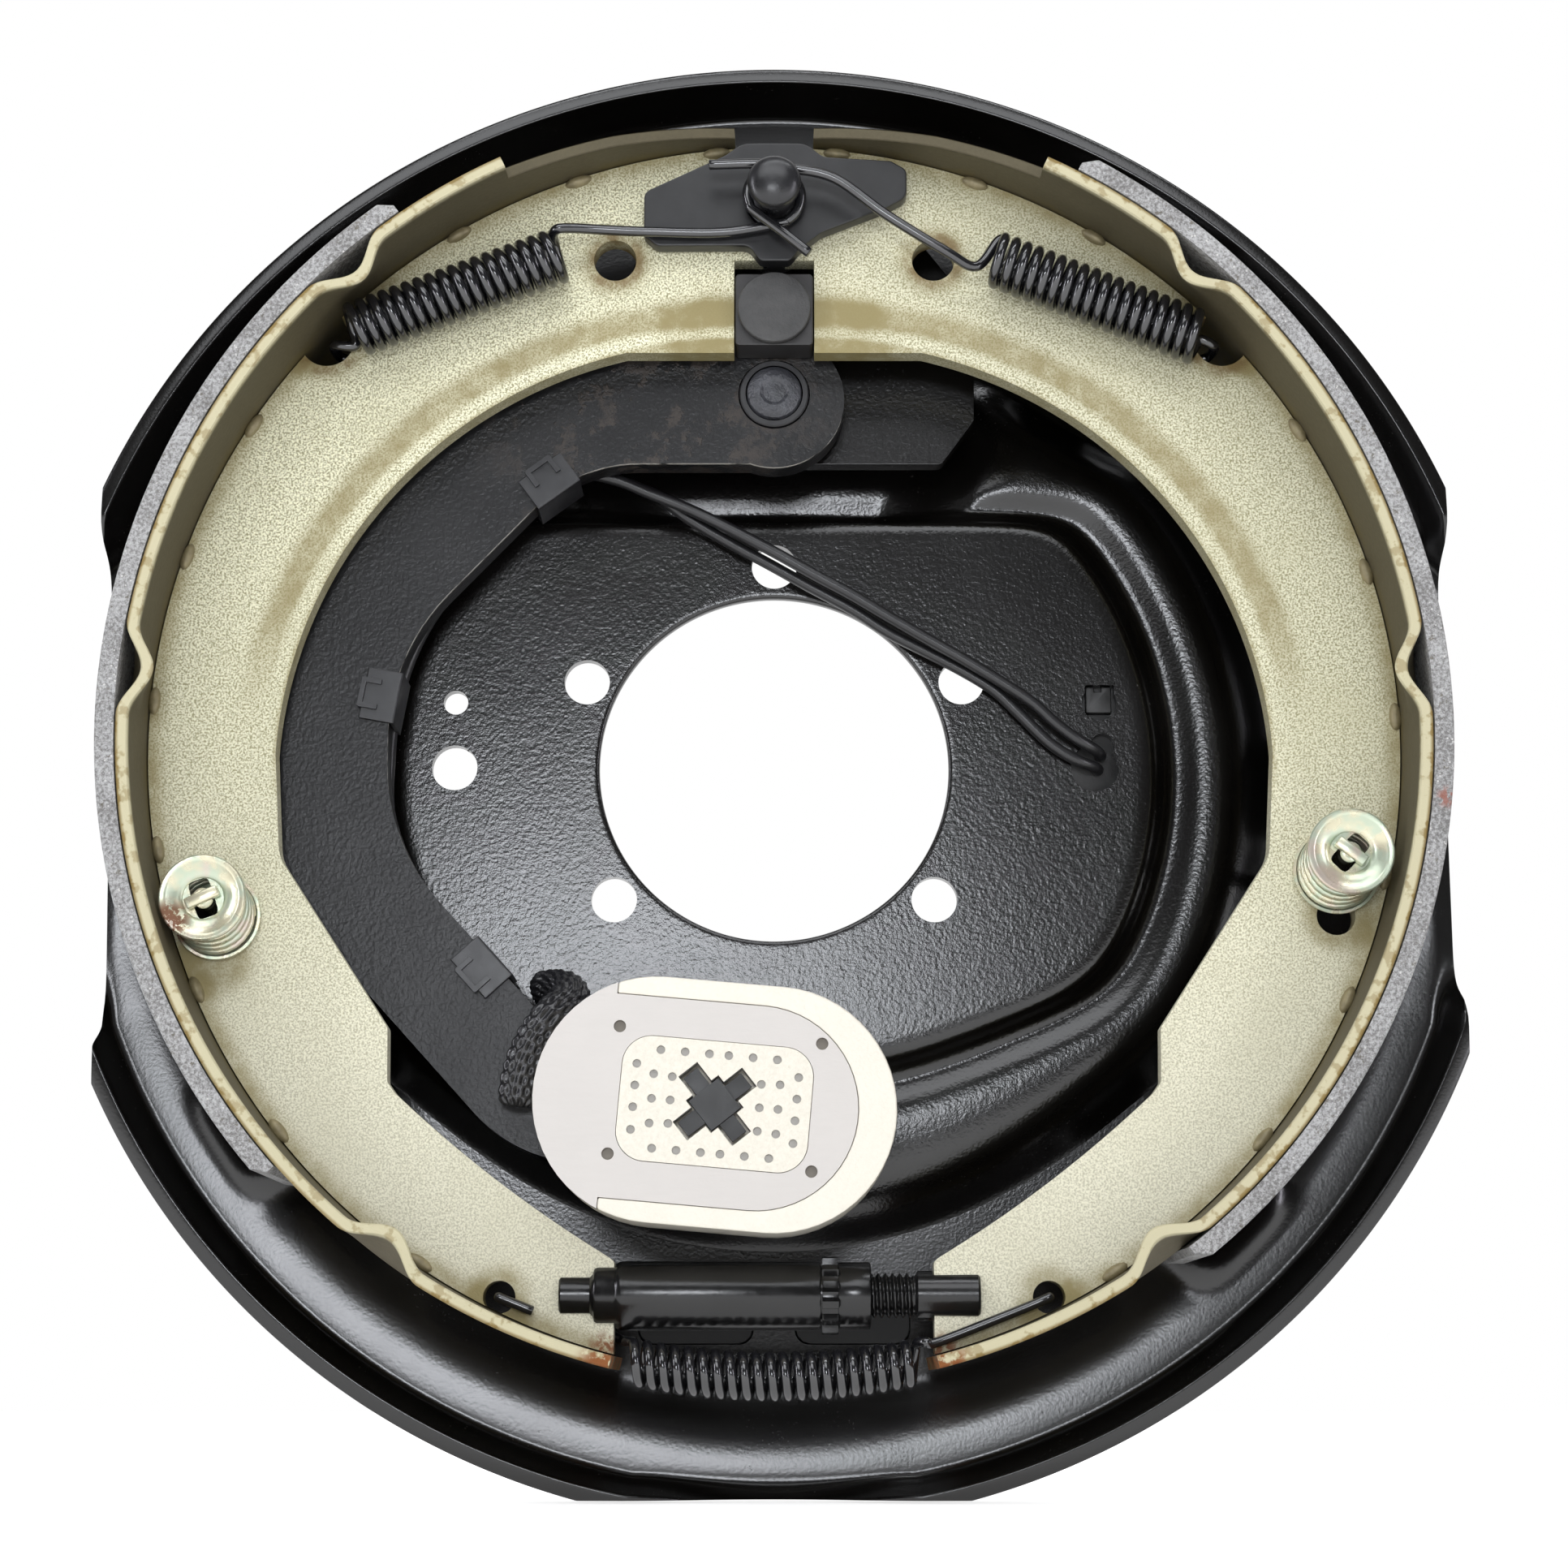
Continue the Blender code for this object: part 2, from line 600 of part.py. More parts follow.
def make_backing_plate():
    rays = plate_angles()
    vertices = []
    for degrees in rays:
        turn = math.radians(degrees)
        for radius, height in plate_section(degrees):
            vertices.append((radius * math.cos(turn), radius * math.sin(turn), height))
    rows = len(plate_section(0))
    faces = []
    for i in range(len(rays)):
        j = (i + 1) % len(rays)
        for k in range(rows - 1):
            faces.append((i * rows + k, i * rows + k + 1, j * rows + k + 1, j * rows + k))
    mesh = bpy.data.meshes.new("backing_plate")
    mesh.from_pydata(vertices, [], faces)
    mesh.shade_smooth()
    plate = bpy.data.objects.new("backing_plate", mesh)
    bpy.context.collection.objects.link(plate)
    wall = plate.modifiers.new("sheet", "SOLIDIFY")
    wall.thickness = SHEET
    wall.offset = -1.0
    wall.use_even_offset = True
    bake(plate)
    low = PLATE_REAR - 5 * MM
    high = RIM_FRONT + 5 * MM
    tools = []
    wide = RIM_RADIUS + 10 * MM
    for side in (-1, 1):
        strip = [(side * SIDE_FLAT, -wide), (side * wide, -wide), (side * wide, wide), (side * SIDE_FLAT, wide)]
        tools.append(prism("side_trim", strip, low, high))
    strip = [(-wide, -wide), (wide, -wide), (wide, -BOTTOM_FLAT), (-wide, -BOTTOM_FLAT)]
    tools.append(prism("bottom_trim", strip, low, high))
    for angle in BOLT_ANGLES:
        centre = arc((0, 0), BOLT_CIRCLE_RADIUS, angle, angle, 1)[0]
        tools.append(rod("bolt_hole", centre, BOLT_HOLE_RADIUS, low, high, 16))
    tools.append(rod("left_hole", (-SERVICE_HOLE_X, 0), SERVICE_HOLE_RADIUS, low, high, 16))
    tools.append(rod("left_small_hole", (-SERVICE_HOLE_X, SMALL_HOLE_Y), SMALL_HOLE_RADIUS,
                     low, high, 12))
    tools.append(rod("lead_hole", (LEAD_HOLE_X - 1.3 * MM, 0), SERVICE_HOLE_RADIUS + 0.3 * MM,
                     low, high, 16))
    tools.append(rod("lead_lobe", (LEAD_HOLE_X + 0.6 * MM, 5.4 * MM), 2.9 * MM, low, high, 14))
    tools.append(rod("clip_hole", (LEAD_HOLE_X, SMALL_HOLE_Y), CLIP_HOLE_RADIUS, low, high, 14))
    half = CLIP_HOLE_RADIUS * 0.72
    square = [(LEAD_HOLE_X - 0.4 * MM + sx * half, SMALL_HOLE_Y + 0.5 * MM + sy * half)
              for sx, sy in ((-1, -1), (1.35, -1), (1.35, 1.25), (-1, 1.25))]
    tools.append(prism("clip_square", square, low, high))
    for side in (-1, 1):
        centre = side * (SLOT_GAP + SLOT_WIDTH) / 2
        tools.append(prism("slot", slot_outline(centre, SLOT_WIDTH, SLOT_HEIGHT), low, high))
    for nail in (PRIMARY_NAIL, SECONDARY_NAIL):
        tools.append(rod("nail_hole", nail, NAIL_RADIUS + SLIP, low, high, 12))
    subtract(plate, tools)
    place(plate, still, "black_paint")


def slot_outline(centre, width, height):
    """An adjuster slot: a rectangle with well rounded corners."""
    x0, x1 = centre - width / 2, centre + width / 2
    y0, y1 = SLOT_Y - height / 2, SLOT_Y + height / 2
    corner = 3.4 * MM
    return rounded([(x0, y0), (x1, y0), (x1, y1), (x0, y1)], [corner] * 4, degrees=30)


def make_slot_plugs():
    for side, name in ((-1, "slot_plug_left"), (1, "slot_plug_right")):
        centre = side * (SLOT_GAP + SLOT_WIDTH) / 2
        stem = prism("stem", slot_outline(centre, SLOT_WIDTH - 2 * TOUCH, SLOT_HEIGHT - 2 * TOUCH),
                     PLATE_REAR - TOUCH - 0.6 * MM, FLOOR + 0.4 * MM)
        flange = prism("flange", slot_outline(centre, SLOT_WIDTH + 3 * MM, SLOT_HEIGHT + 4 * MM),
                       NAIL_REAR, PLATE_REAR - TOUCH)
        place(join_pieces(name, [flange, stem]), still, "rubber")


# Anchor bracket, post and guide plate
def plate_top(corners):
    """The highest that the pressing stands under a four-cornered foot."""
    heights = []
    for i in range(len(corners)):
        a, b = Vector(corners[i]), Vector(corners[i - 1])
        for k in range(8):
            point = a.lerp(b, k / 8)
            section = plate_section(math.degrees(math.atan2(point.y, point.x)))
            for (r0, h0), (r1, h1) in zip(section, section[1:]):
                if r0 <= point.length <= r1:
                    heights.append(h0 + (h1 - h0) * (point.length - r0) / max(r1 - r0, 1e-9))
    return max(heights)


def make_bracket():
    outline = rounded([(BRACKET_LEFT, BRACKET_BOTTOM), (BRACKET_RIGHT - 8 * MM, BRACKET_BOTTOM),
                       (BRACKET_RIGHT, BRACKET_BOTTOM + 11 * MM), (BRACKET_RIGHT, BRACKET_CORNER),
                       (28 * MM, BRACKET_TOP), (-28 * MM, BRACKET_TOP), (BRACKET_LEFT, BRACKET_CORNER)],
                      [3 * MM, 2 * MM, 2 * MM, 5 * MM, 6 * MM, 6 * MM, 5 * MM], degrees=30)
    rear = BRACKET_FRONT - BRACKET_THICKNESS
    face = prism("anchor_bracket", outline, rear, BRACKET_FRONT)
    legs = []
    for x0, x1 in ((BRACKET_LEFT, BRACKET_LEFT + BRACKET_THICKNESS),
                   (BRACKET_RIGHT - BRACKET_THICKNESS, BRACKET_RIGHT)):
        low, high = BRACKET_CORNER - 10 * MM, BRACKET_CORNER - 0.5 * MM
        leg = [(x0, low), (x1, low), (x1, high), (x0, high)]
        legs.append(prism("leg", leg, plate_top(leg) + TOUCH, rear + 2 * MM))
    low, high = ANCHOR_Y - 7.2 * MM, ANCHOR_Y - 0.2 * MM
    foot = [(-20 * MM, low), (20 * MM, low), (20 * MM, high), (-20 * MM, high)]
    legs.append(prism("foot", foot, plate_top(foot) + TOUCH, rear + 2 * MM))
    bracket = join_pieces("anchor_bracket", [face, *legs])
    holes = [rod("pin_hole", (0, PIVOT_Y), PIVOT_PIN_RADIUS + SLIP, rear - MM, BRACKET_FRONT + MM)]
    place(subtract(bracket, holes), still, "black_paint")


def make_anchor_post():
    collar = WEB_REAR - 2.0 * MM
    neck_low = WEB_FRONT + TOUCH + GUIDE_THICKNESS + TOUCH
    head_low = POST_TOP - POST_HEAD_HEIGHT
    profile = [(BRACKET_FRONT + TOUCH, 9.0 * MM), (collar, 9.0 * MM), (collar, POST_RADIUS),
               (neck_low, POST_RADIUS), (neck_low + 0.8 * MM, POST_NECK_RADIUS),
               (head_low, POST_NECK_RADIUS), (head_low + 0.3 * MM, POST_HEAD_RADIUS),
               (head_low + 2.2 * MM, POST_HEAD_RADIUS)]
    for k in range(1, 4):
        turn = math.radians(26 * k)
        rise = POST_HEAD_HEIGHT - 2.2 * MM
        profile.append((head_low + 2.2 * MM + rise * math.sin(turn), POST_HEAD_RADIUS * math.cos(turn)))
    post = turned("anchor_post", profile, (0, ANCHOR_Y, 0), (0, 0, 1), 18)
    place(post, still, "black_steel")


def make_guide_plate():
    corners = [(-30.6, 131.8), (-11.5, 141.0), (-7.5, 144.0), (7.5, 144.0), (11.5, 140.6), (27.5, 139.6),
               (31.2, 137.4), (31.2, 130.4), (26.5, 127.8), (11.0, 121.6), (6.0, 117.6), (3.6, 114.6),
               (-3.2, 114.6), (-6.0, 118.4), (-27.5, 118.3), (-30.6, 121.0)]
    radii = [2.5, 4, 6, 6, 4, 2, 2, 3, 3, 6, 4, 1.5, 1.5, 3, 2.5, 2]
    shift = ANCHOR_Y - 129.2 * MM
    outline = rounded([(x * MM, y * MM + shift) for x, y in corners], [r * MM for r in radii], degrees=22)
    low = WEB_FRONT + TOUCH
    guide = prism("guide_plate", outline, low, low + GUIDE_THICKNESS)
    hole = rod("post_hole", (0, ANCHOR_Y), POST_RADIUS + SLIP, low - MM, low + 2 * GUIDE_THICKNESS)
    place(subtract(guide, [hole]), still, "black_steel")


def make_lever_pivot():
    rear = BRACKET_FRONT - BRACKET_THICKNESS - TOUCH
    top = LEVER_FRONT + 1.6 * MM
    pin = turned("lever_pivot_pin", [(rear - 3.5 * MM, 8.6 * MM), (rear, 9.4 * MM), (rear, PIVOT_PIN_RADIUS),
                                     (top, PIVOT_PIN_RADIUS), (top + 0.9 * MM, PIVOT_PIN_RADIUS - 1.6 * MM)],
                 (0, PIVOT_Y, 0), (0, 0, 1), 20)
    place(pin, still, "black_steel")
    low = BRACKET_FRONT + TOUCH
    high = LEVER_FRONT + 0.9 * MM
    inner = PIVOT_PIN_RADIUS + SLIP
    bushing = turned("lever_bushing", [(low, inner), (low, BUSHING_RADIUS), (high, BUSHING_RADIUS),
                                       (high, inner)],
                     (0, PIVOT_Y, 0), (0, 0, 1), 20, hollow=True)
    place(bushing, still, "black_steel")


# Lever arm with its clips, leads and magnet post
LEVER_TOP = PIVOT_Y - 4.0 * MM
LEVER_SIDE = -(SHOE_RADIUS - 48.3 * MM)
LEVER_CORNERS = [(0, LEVER_TOP), (LEVER_SIDE + 51.0 * MM, LEVER_TOP), (LEVER_SIDE, 29.0 * MM),
                 (LEVER_SIDE, -26.0 * MM), (LEVER_SIDE + 50.1 * MM, MAGNET_Y + 2.6 * MM), (MAGNET_X, MAGNET_Y)]
LEVER_BENDS = [0, 46, 62, 62, 22, 0]


def lever_line():
    """The middle of the lever arm, from its eye down to the magnet."""
    return rounded(LEVER_CORNERS, [r * MM for r in LEVER_BENDS], closed=False, degrees=12)


def make_lever_arm():
    line = lever_line()
    sides = offset_path(line, LEVER_WIDTH / 2) + offset_path(line, -LEVER_WIDTH / 2)[::-1]
    strip = prism("lever_arm", sides, LEVER_REAR, LEVER_FRONT)
    eye = rod("eye", (0, PIVOT_Y - 1.4 * MM), LEVER_EYE_RADIUS, LEVER_REAR, LEVER_FRONT, 24)
    half = WEB_SLOT_HALF - 0.6 * MM
    tab = prism("tab", rounded([(-half, PIVOT_Y - 2.6 * MM), (half, PIVOT_Y - 2.6 * MM), (half, CAM_Y + 8.6 * MM),
                                (-half, CAM_Y + 8.6 * MM)], [0, 0, 3 * MM, 3 * MM], degrees=30),
                LEVER_REAR, LEVER_FRONT)
    foot = rod("foot", (MAGNET_X, MAGNET_Y), LEVER_WIDTH / 2 + 1.2 * MM, LEVER_REAR, LEVER_FRONT, 20)
    arm = join_pieces("lever_arm", [strip, eye, tab, foot])
    low, high = LEVER_REAR - MM, LEVER_FRONT + MM
    holes = [rod("eye_hole", (0, PIVOT_Y), BUSHING_RADIUS + SLIP, low, high, 20),
             rod("cam_hole", (0, CAM_Y), CAM_PIN_RADIUS + SLIP, low, high, 20),
             rod("post_hole", (MAGNET_X, MAGNET_Y), MAGNET_POST_RADIUS + SLIP, low, high, 20)]
    place(subtract(arm, holes), lever_axis, "black_paint")


def make_cam():
    half = WEB_SLOT_HALF - TOUCH
    low = LEVER_FRONT + TOUCH
    high = low + CAM_BLOCK_DEPTH
    y0, y1 = CAM_Y - CAM_BLOCK_HEIGHT / 2, CAM_Y + CAM_BLOCK_HEIGHT / 2
    corners = [(-half, y0), (half, y0), (half, y1), (-half, y1)]
    block = prism("cam_block", rounded(corners, [1 * MM] * 4, degrees=45), low, high)
    hole = rod("pin_hole", (0, CAM_Y), CAM_PIN_RADIUS + SLIP, low - MM, high + MM, 20)
    place(subtract(block, [hole]), cam_axis, "black_steel")
    head = high + TOUCH
    pin = turned("cam_pin", [(LEVER_REAR - 1.2 * MM, 6.2 * MM), (LEVER_REAR - TOUCH, 6.2 * MM),
                             (LEVER_REAR - TOUCH, CAM_PIN_RADIUS), (head, CAM_PIN_RADIUS),
                             (head, CAM_HEAD_RADIUS), (head + CAM_HEAD_HEIGHT - 0.4 * MM, CAM_HEAD_RADIUS),
                             (head + CAM_HEAD_HEIGHT, CAM_HEAD_RADIUS - 0.5 * MM)],
                 (0, CAM_Y, 0), (0, 0, 1), 18)
    place(pin, lever_axis, "black_steel")


def point_on_lever(share):
    """A place on the inner edge of the arm, by its share of the way down the arm."""
    line = [Vector(p) for p in lever_line()]
    lengths = [0.0]
    for a, b in zip(line, line[1:]):
        lengths.append(lengths[-1] + (b - a).length)
    target = share * lengths[-1]
    for i in range(len(line) - 1):
        if lengths[i + 1] >= target:
            break
    along = (line[i + 1] - line[i]).normalized()
    inward = Vector((-along.y, along.x))
    here = line[i] + along * (target - lengths[i])
    return here + inward * LEVER_WIDTH / 2


CLIP_PLACES = (("arm_clip_top", 0.212), ("arm_clip_side", 0.470), ("arm_clip_low", 0.752))
CLIP_CLEARANCE = 0.4 * MM
CLIP_REACH = 0.027
LEAD_DEPTH = LEVER_REAR - TOUCH - LEAD_RADIUS
LEAD_INSETS = (3.6 * MM, 7.2 * MM)


def make_arm_clips():
    front = LEVER_FRONT + TOUCH
    rear = LEAD_DEPTH - LEAD_RADIUS - TOUCH
    lip = CLIP_SHEET
    gap = CLIP_CLEARANCE
    profile = [(gap, front), (gap - 7.0 * MM, front), (gap - 7.0 * MM, front + lip), (gap + lip, front + lip),
               (gap + lip, rear - lip), (gap - 9.6 * MM, rear - lip), (gap - 9.6 * MM, rear), (gap, rear)]
    for name, share in CLIP_PLACES:
        before = point_on_lever(share - CLIP_REACH)
        after = point_on_lever(share + CLIP_REACH)
        edge = (before + after) / 2
        along = (after - before).normalized()
        inward = Vector((-along.y, along.x))
        rings = []
        for end in (-CLIP_LENGTH / 2, CLIP_LENGTH / 2):
            base = edge + along * end
            rings.append([(base.x + inward.x * u, base.y + inward.y * u, z) for u, z in profile])
        place(loft(name, rings, smooth=None), lever_axis, "black_steel")


def make_arm_leads():
    """Two leads side by side behind the arm, from its first clip to just past its last."""
    line = lever_line()
    spaced = []
    for i in range(len(line) - 1):
        a, b = Vector(line[i]), Vector(line[i + 1])
        pieces = max(1, round((b - a).length / (7.5 * MM)))
        for k in range(pieces):
            spaced.append(tuple(a + (b - a) * k / pieces))
    start = next(i for i, p in enumerate(spaced) if p[0] < LEVER_SIDE + 56.6 * MM)
    end = next(i for i, p in enumerate(spaced) if p[1] < MAGNET_Y + 21.6 * MM)
    for name, inset in zip(("arm_lead_a", "arm_lead_b"), LEAD_INSETS):
        route = offset_path(spaced, LEVER_WIDTH / 2 - inset)[start:end]
        place(wire(name, [(x, y, LEAD_DEPTH) for x, y in route], LEAD_RADIUS, 2), lever_axis, "rubber")


SLEEVE_START = [(-55.6, -54.2, 4.9), (-51.5, -53.4, 6.8), (-47.6, -54.6, 11.5), (-46.6, -57.6, 17.5)]
SLEEVE_HUG = ((140, 23.4), (150, 23.7), (160, 23.8), (170, 23.8), (181, 23.8))


def make_sleeve():
    stops = [(x * MM, y * MM, z * MM) for x, y, z in SLEEVE_START]
    run = MAGNET_LENGTH / 2 - MAGNET_WIDTH / 2
    bow_x = MAGNET_X - run * math.cos(MAGNET_TILT)
    bow_y = MAGNET_Y - run * math.sin(MAGNET_TILT)
    hug = MAGNET_WIDTH / 2 + SLEEVE_RADIUS + 2 * TOUCH
    for degrees, height in SLEEVE_HUG:
        turn = math.radians(degrees)
        stops.append((bow_x + hug * math.cos(turn), bow_y + hug * math.sin(turn), height * MM))
    route = smooth_through(stops, 2)
    place(wire("magnet_sleeve", route, SLEEVE_RADIUS, 2), lever_axis, "black_plastic")


# Magnet
def turned_about_magnet(points):
    """Points given from the middle of the magnet, along and across it."""
    c, s = math.cos(MAGNET_TILT), math.sin(MAGNET_TILT)
    return [(MAGNET_X + c * x - s * y, MAGNET_Y + s * x + c * y) for x, y in points]


def oval(length, width, steps=10):
    """A long oval with half-round ends."""
    radius = width / 2
    run = length / 2 - radius
    return arc((run, 0), radius, -90, 90, steps) + arc((-run, 0), radius, 90, 270, steps)


def grooved_face(inset=0.0):
    """The friction face: it meets the outline on the left and keeps a wall on the other sides."""
    half = MAGNET_WIDTH / 2 - MAGNET_SIDE_WALL - inset
    right = MAGNET_LENGTH / 2 - MAGNET_END_WALL - inset
    left = -MAGNET_LENGTH / 2 - 4 * MM
    break_x = -MAGNET_LENGTH / 2 + 16.5 * MM - inset
    big = MAGNET_WIDTH / 2 + 4 * MM
    bow = arc((right - half, 0), half, -90, 90, 10)
    return bow + [(break_x, half), (break_x, big), (left, big), (left, -big), (break_x, -big),
                  (break_x, -half)]


def cross_outline(reach, half, middle):
    """A cross of four stubby arms with stepped inner corners, lying at 45 degrees."""
    step = middle
    quarter = [(reach, -half), (reach, half), (step, half), (step, step), (half, step)]
    outline = []
    for k in range(4):
        c, s = math.cos(math.pi / 2 * k), math.sin(math.pi / 2 * k)
        outline += [(c * x - s * y, s * x + c * y) for x, y in quarter]
    tilt = math.radians(-47)
    c, s = math.cos(tilt), math.sin(tilt)
    return [(c * x - s * y, s * x + c * y) for x, y in outline]


def core_outline(inset=0.0):
    """The inner pole: a rectangle with cut and softened corners."""
    x, y = CORE_LENGTH / 2 - inset, CORE_WIDTH / 2 - inset
    corners = [(x, -y), (x, y), (-x, y), (-x, -y)]
    return rounded(corners, [6.5 * MM] * 4, degrees=30)


def pit_places():
    """The small pits in the inner pole: a ring near its edge and three short columns a side."""
    x, y = CORE_LENGTH / 2 - 3.2 * MM, CORE_WIDTH / 2 - 2.9 * MM
    places = []
    for side in (-1, 1):
        for across in (-0.66, -0.2, 0.24, 0.68):
            places.append((side * x, across * y))
        for along in (0.72, 0.42, 0.12):
            places.append((side * along * x, y))
            places.append((side * along * x, -y))
        for across in (-0.5, 0.0, 0.5):
            places.append((side * x * 0.78, across * y))
            places.append((side * x * 0.55, across * y * 0.95))
    return places


CORE_X = 0.0


def make_magnet():
    low, high = MAGNET_REAR, MAGNET_FACE
    pocket = high - MAGNET_POCKET
    shell = prism("magnet_shell", turned_about_magnet(oval(MAGNET_LENGTH, MAGNET_WIDTH)), low, high, 40)
    shell_cut = prism("pocket", turned_about_magnet(grooved_face()), pocket, high + MM)
    bore = rod("bore", (MAGNET_X, MAGNET_Y), MAGNET_POST_RADIUS + SLIP, low - MM, high, 20)
    subtract(shell, [shell_cut, bore])
    place(shell, magnet_axis, "magnet_steel")

    face = prism("magnet_face", turned_about_magnet(oval(MAGNET_LENGTH, MAGNET_WIDTH)),
                 pocket + TOUCH, high - 0.2 * MM, 40)
    trim = prism("trim", turned_about_magnet(grooved_face(TOUCH)), pocket - MM, high + MM)
    window = prism("window", turned_about_magnet(core_outline(-TOUCH)), pocket - MM, high + MM)
    cut(face, trim, "INTERSECT")
    bake(face, [trim])
    dimples = []
    for x, y in ((-22.3, 15.2), (22.3, 15.2), (-22.3, -12.8), (22.3, -12.8)):
        centre = turned_about_magnet([(x * MM, y * MM)])[0]
        dimples.append(rod("dimple", centre, 1.3 * MM, high - 1.6 * MM, high + MM, 10))
    place(subtract(face, [window, *dimples]), magnet_axis, "friction")

    core = prism("magnet_core", turned_about_magnet(core_outline()), pocket + TOUCH, high)
    tools = [prism("cross", turned_about_magnet(cross_outline(9.6 * MM, 2.6 * MM, 4.5 * MM)), pocket, high + MM)]
    for place_xy in turned_about_magnet(pit_places()):
        tools.append(rod("pit", place_xy, CORE_PIT_RADIUS, high - 0.8 * MM, high + MM, 4))
    place(subtract(core, tools), magnet_axis, "magnet_steel")


def make_magnet_post():
    top = MAGNET_FACE - 3.2 * MM
    post = turned("magnet_post", [(LEVER_REAR - 1.0 * MM, 5.4 * MM), (LEVER_REAR - TOUCH, 5.8 * MM),
                                  (LEVER_REAR - TOUCH, MAGNET_POST_RADIUS), (top, MAGNET_POST_RADIUS)],
                  (MAGNET_X, MAGNET_Y, 0), (0, 0, 1), 20)
    place(post, lever_axis, "black_steel")
    low = top + TOUCH
    arms = prism("magnet_retainer", turned_about_magnet(cross_outline(8.8 * MM, 1.9 * MM, 3.0 * MM)),
                 low, MAGNET_FACE - 2.0 * MM)
    turn = math.radians(-47)
    half = 4.1 * MM
    c, s = math.cos(turn), math.sin(turn)
    square = [(c * x - s * y, s * x + c * y) for x, y in
              ((-half, -half), (half, -half), (half, half), (-half, half))]
    cap = prism("cap", turned_about_magnet(square), low, MAGNET_FACE - 0.9 * MM)
    place(join_pieces("magnet_retainer", [arms, cap]), lever_axis, "black_plastic")


def make_magnet_spring():
    gap = MAGNET_REAR - LEVER_FRONT
    wire_radius = 0.8 * MM
    points = []
    turns = 3
    steps = 10
    for k in range(turns * steps + 1):
        share = k / (turns * steps)
        turn = math.tau * k / steps
        radius = (7.0 + 6.0 * share) * MM
        height = LEVER_FRONT + TOUCH + wire_radius + (gap - 2 * TOUCH - 2 * wire_radius) * share
        points.append((MAGNET_X + radius * math.cos(turn), MAGNET_Y + radius * math.sin(turn), height))
    place(wire("magnet_spring", points, wire_radius), lever_axis, "black_steel")


# Shoes
def table_end_angle(x, radius):
    return math.degrees(math.acos(x / radius))


def web_inside(degrees, width):
    """A point of the web's inner edge, by its angle and the web's width there in millimetres."""
    return shoe_point(degrees, WEB_OUTER - width * MM)


def web_outline():
    """The right-hand web. The left one is its mirror image."""
    toe = -table_end_angle(WEB_TOE_X, WEB_OUTER)
    heel = table_end_angle(WEB_END_HALF, WEB_OUTER)
    seat = POST_RADIUS + SLIP
    lean = math.degrees(math.acos(WEB_END_HALF / seat))
    outline = [(WEB_END_HALF, WEB_SLOT_TOP), (WEB_SLOT_HALF, WEB_SLOT_TOP), (WEB_SLOT_HALF, WEB_SLOT_BOTTOM)]
    outline += arc_through((WEB_HEAD_X, WEB_SLOT_BOTTOM), web_inside(29.51, 35.41), web_inside(-1.758, 29.146), 14)
    outline += [web_inside(-13.737, 27.388), web_inside(-37.423, 33.776), web_inside(-42.23, 26.11)]
    toe_top = (WEB_TOE_X + 2.6 * MM, ADJUSTER_Y + 9.2 * MM)
    outline += arc_through(web_inside(-43.655, 25.726), web_inside(-59.51, 24.95), toe_top, 4)
    outline += rounded([(toe_top[0] - MM, toe_top[1] - 0.6 * MM), (WEB_TOE_X, ADJUSTER_Y + 7.2 * MM),
                        (WEB_TOE_X, ADJUSTER_Y)], [0, 1.2 * MM, 0], closed=False, degrees=45)[1:-1]
    outline += [shoe_point(toe + (heel - toe) * k / 34, WEB_OUTER) for k in range(35)]
    outline += arc((0, ANCHOR_Y), seat, lean, -lean, 8)
    return outline


def make_web(name, side, frame, nail):
    outline = web_outline() if side > 0 else mirrored(web_outline())
    web = prism(name, outline, WEB_REAR, WEB_FRONT)
    low, high = WEB_REAR - MM, WEB_FRONT + MM
    notch = shoe_point(SPRING_NOTCH_ANGLE, WEB_OUTER - SPRING_NOTCH_INSET)
    holes = [rod("tool_hole", (side * TOOL_HOLE[0], TOOL_HOLE[1]), TOOL_HOLE_RADIUS, low, high, 18),
             rod("notch", (side * notch[0], notch[1]), SPRING_NOTCH_RADIUS, low, high, 18),
             rod("toe_hole", (side * TOE_HOLE[0], TOE_HOLE[1]), TOE_HOLE_RADIUS, low, high, 14),
             rod("nail_hole", nail, NAIL_HOLE_RADIUS, low, high, 16),
             rod("spare_hole", (nail[0] - side * 1.6 * MM, nail[1] - SPARE_HOLE_DROP), 4.4 * MM,
                 low, high, 16)]
    place(subtract(web, holes), frame, "zinc")


def nib_dip(degrees):
    """How far the table is pressed inwards at this angle."""
    dip = 0.0
    for middle in NIB_ANGLES:
        away = abs(degrees - middle) / NIB_HALF_DEGREES
        if away < 1:
            dip = max(dip, NIB_DEPTH * 0.5 * (1 + math.cos(math.pi * away)))
    return dip


def heel_cut(degrees):
    """How far the table's edges are set back near the anchor."""
    if degrees < STEP_ANGLE:
        return 0.0
    if degrees < HEEL_ANGLE:
        return STEP_DEPTH + (degrees - STEP_ANGLE) / (HEEL_ANGLE - STEP_ANGLE) * 3.0 * MM
    last = table_end_angle(WEB_SLOT_HALF, TABLE_OUTER)
    first = STEP_DEPTH + 3.0 * MM
    return first + (degrees - HEEL_ANGLE) / (last - HEEL_ANGLE) * (HEEL_DEPTH - first)


def table_angles():
    toe = -table_end_angle(WEB_TOE_X, TABLE_OUTER)
    heel = table_end_angle(WEB_SLOT_HALF, TABLE_OUTER)
    special = [toe, heel, STEP_ANGLE - 0.05, STEP_ANGLE + 0.05, HEEL_ANGLE]
    for middle in NIB_ANGLES:
        special += [middle + NIB_HALF_DEGREES * k / 3 for k in range(-3, 4)]
    angles = list(special)
    for k in range(60):
        plain = toe + (heel - toe) * k / 28
        if plain < heel and min(abs(plain - s) for s in special) > 2.6:
            angles.append(plain)
    return sorted(angles)


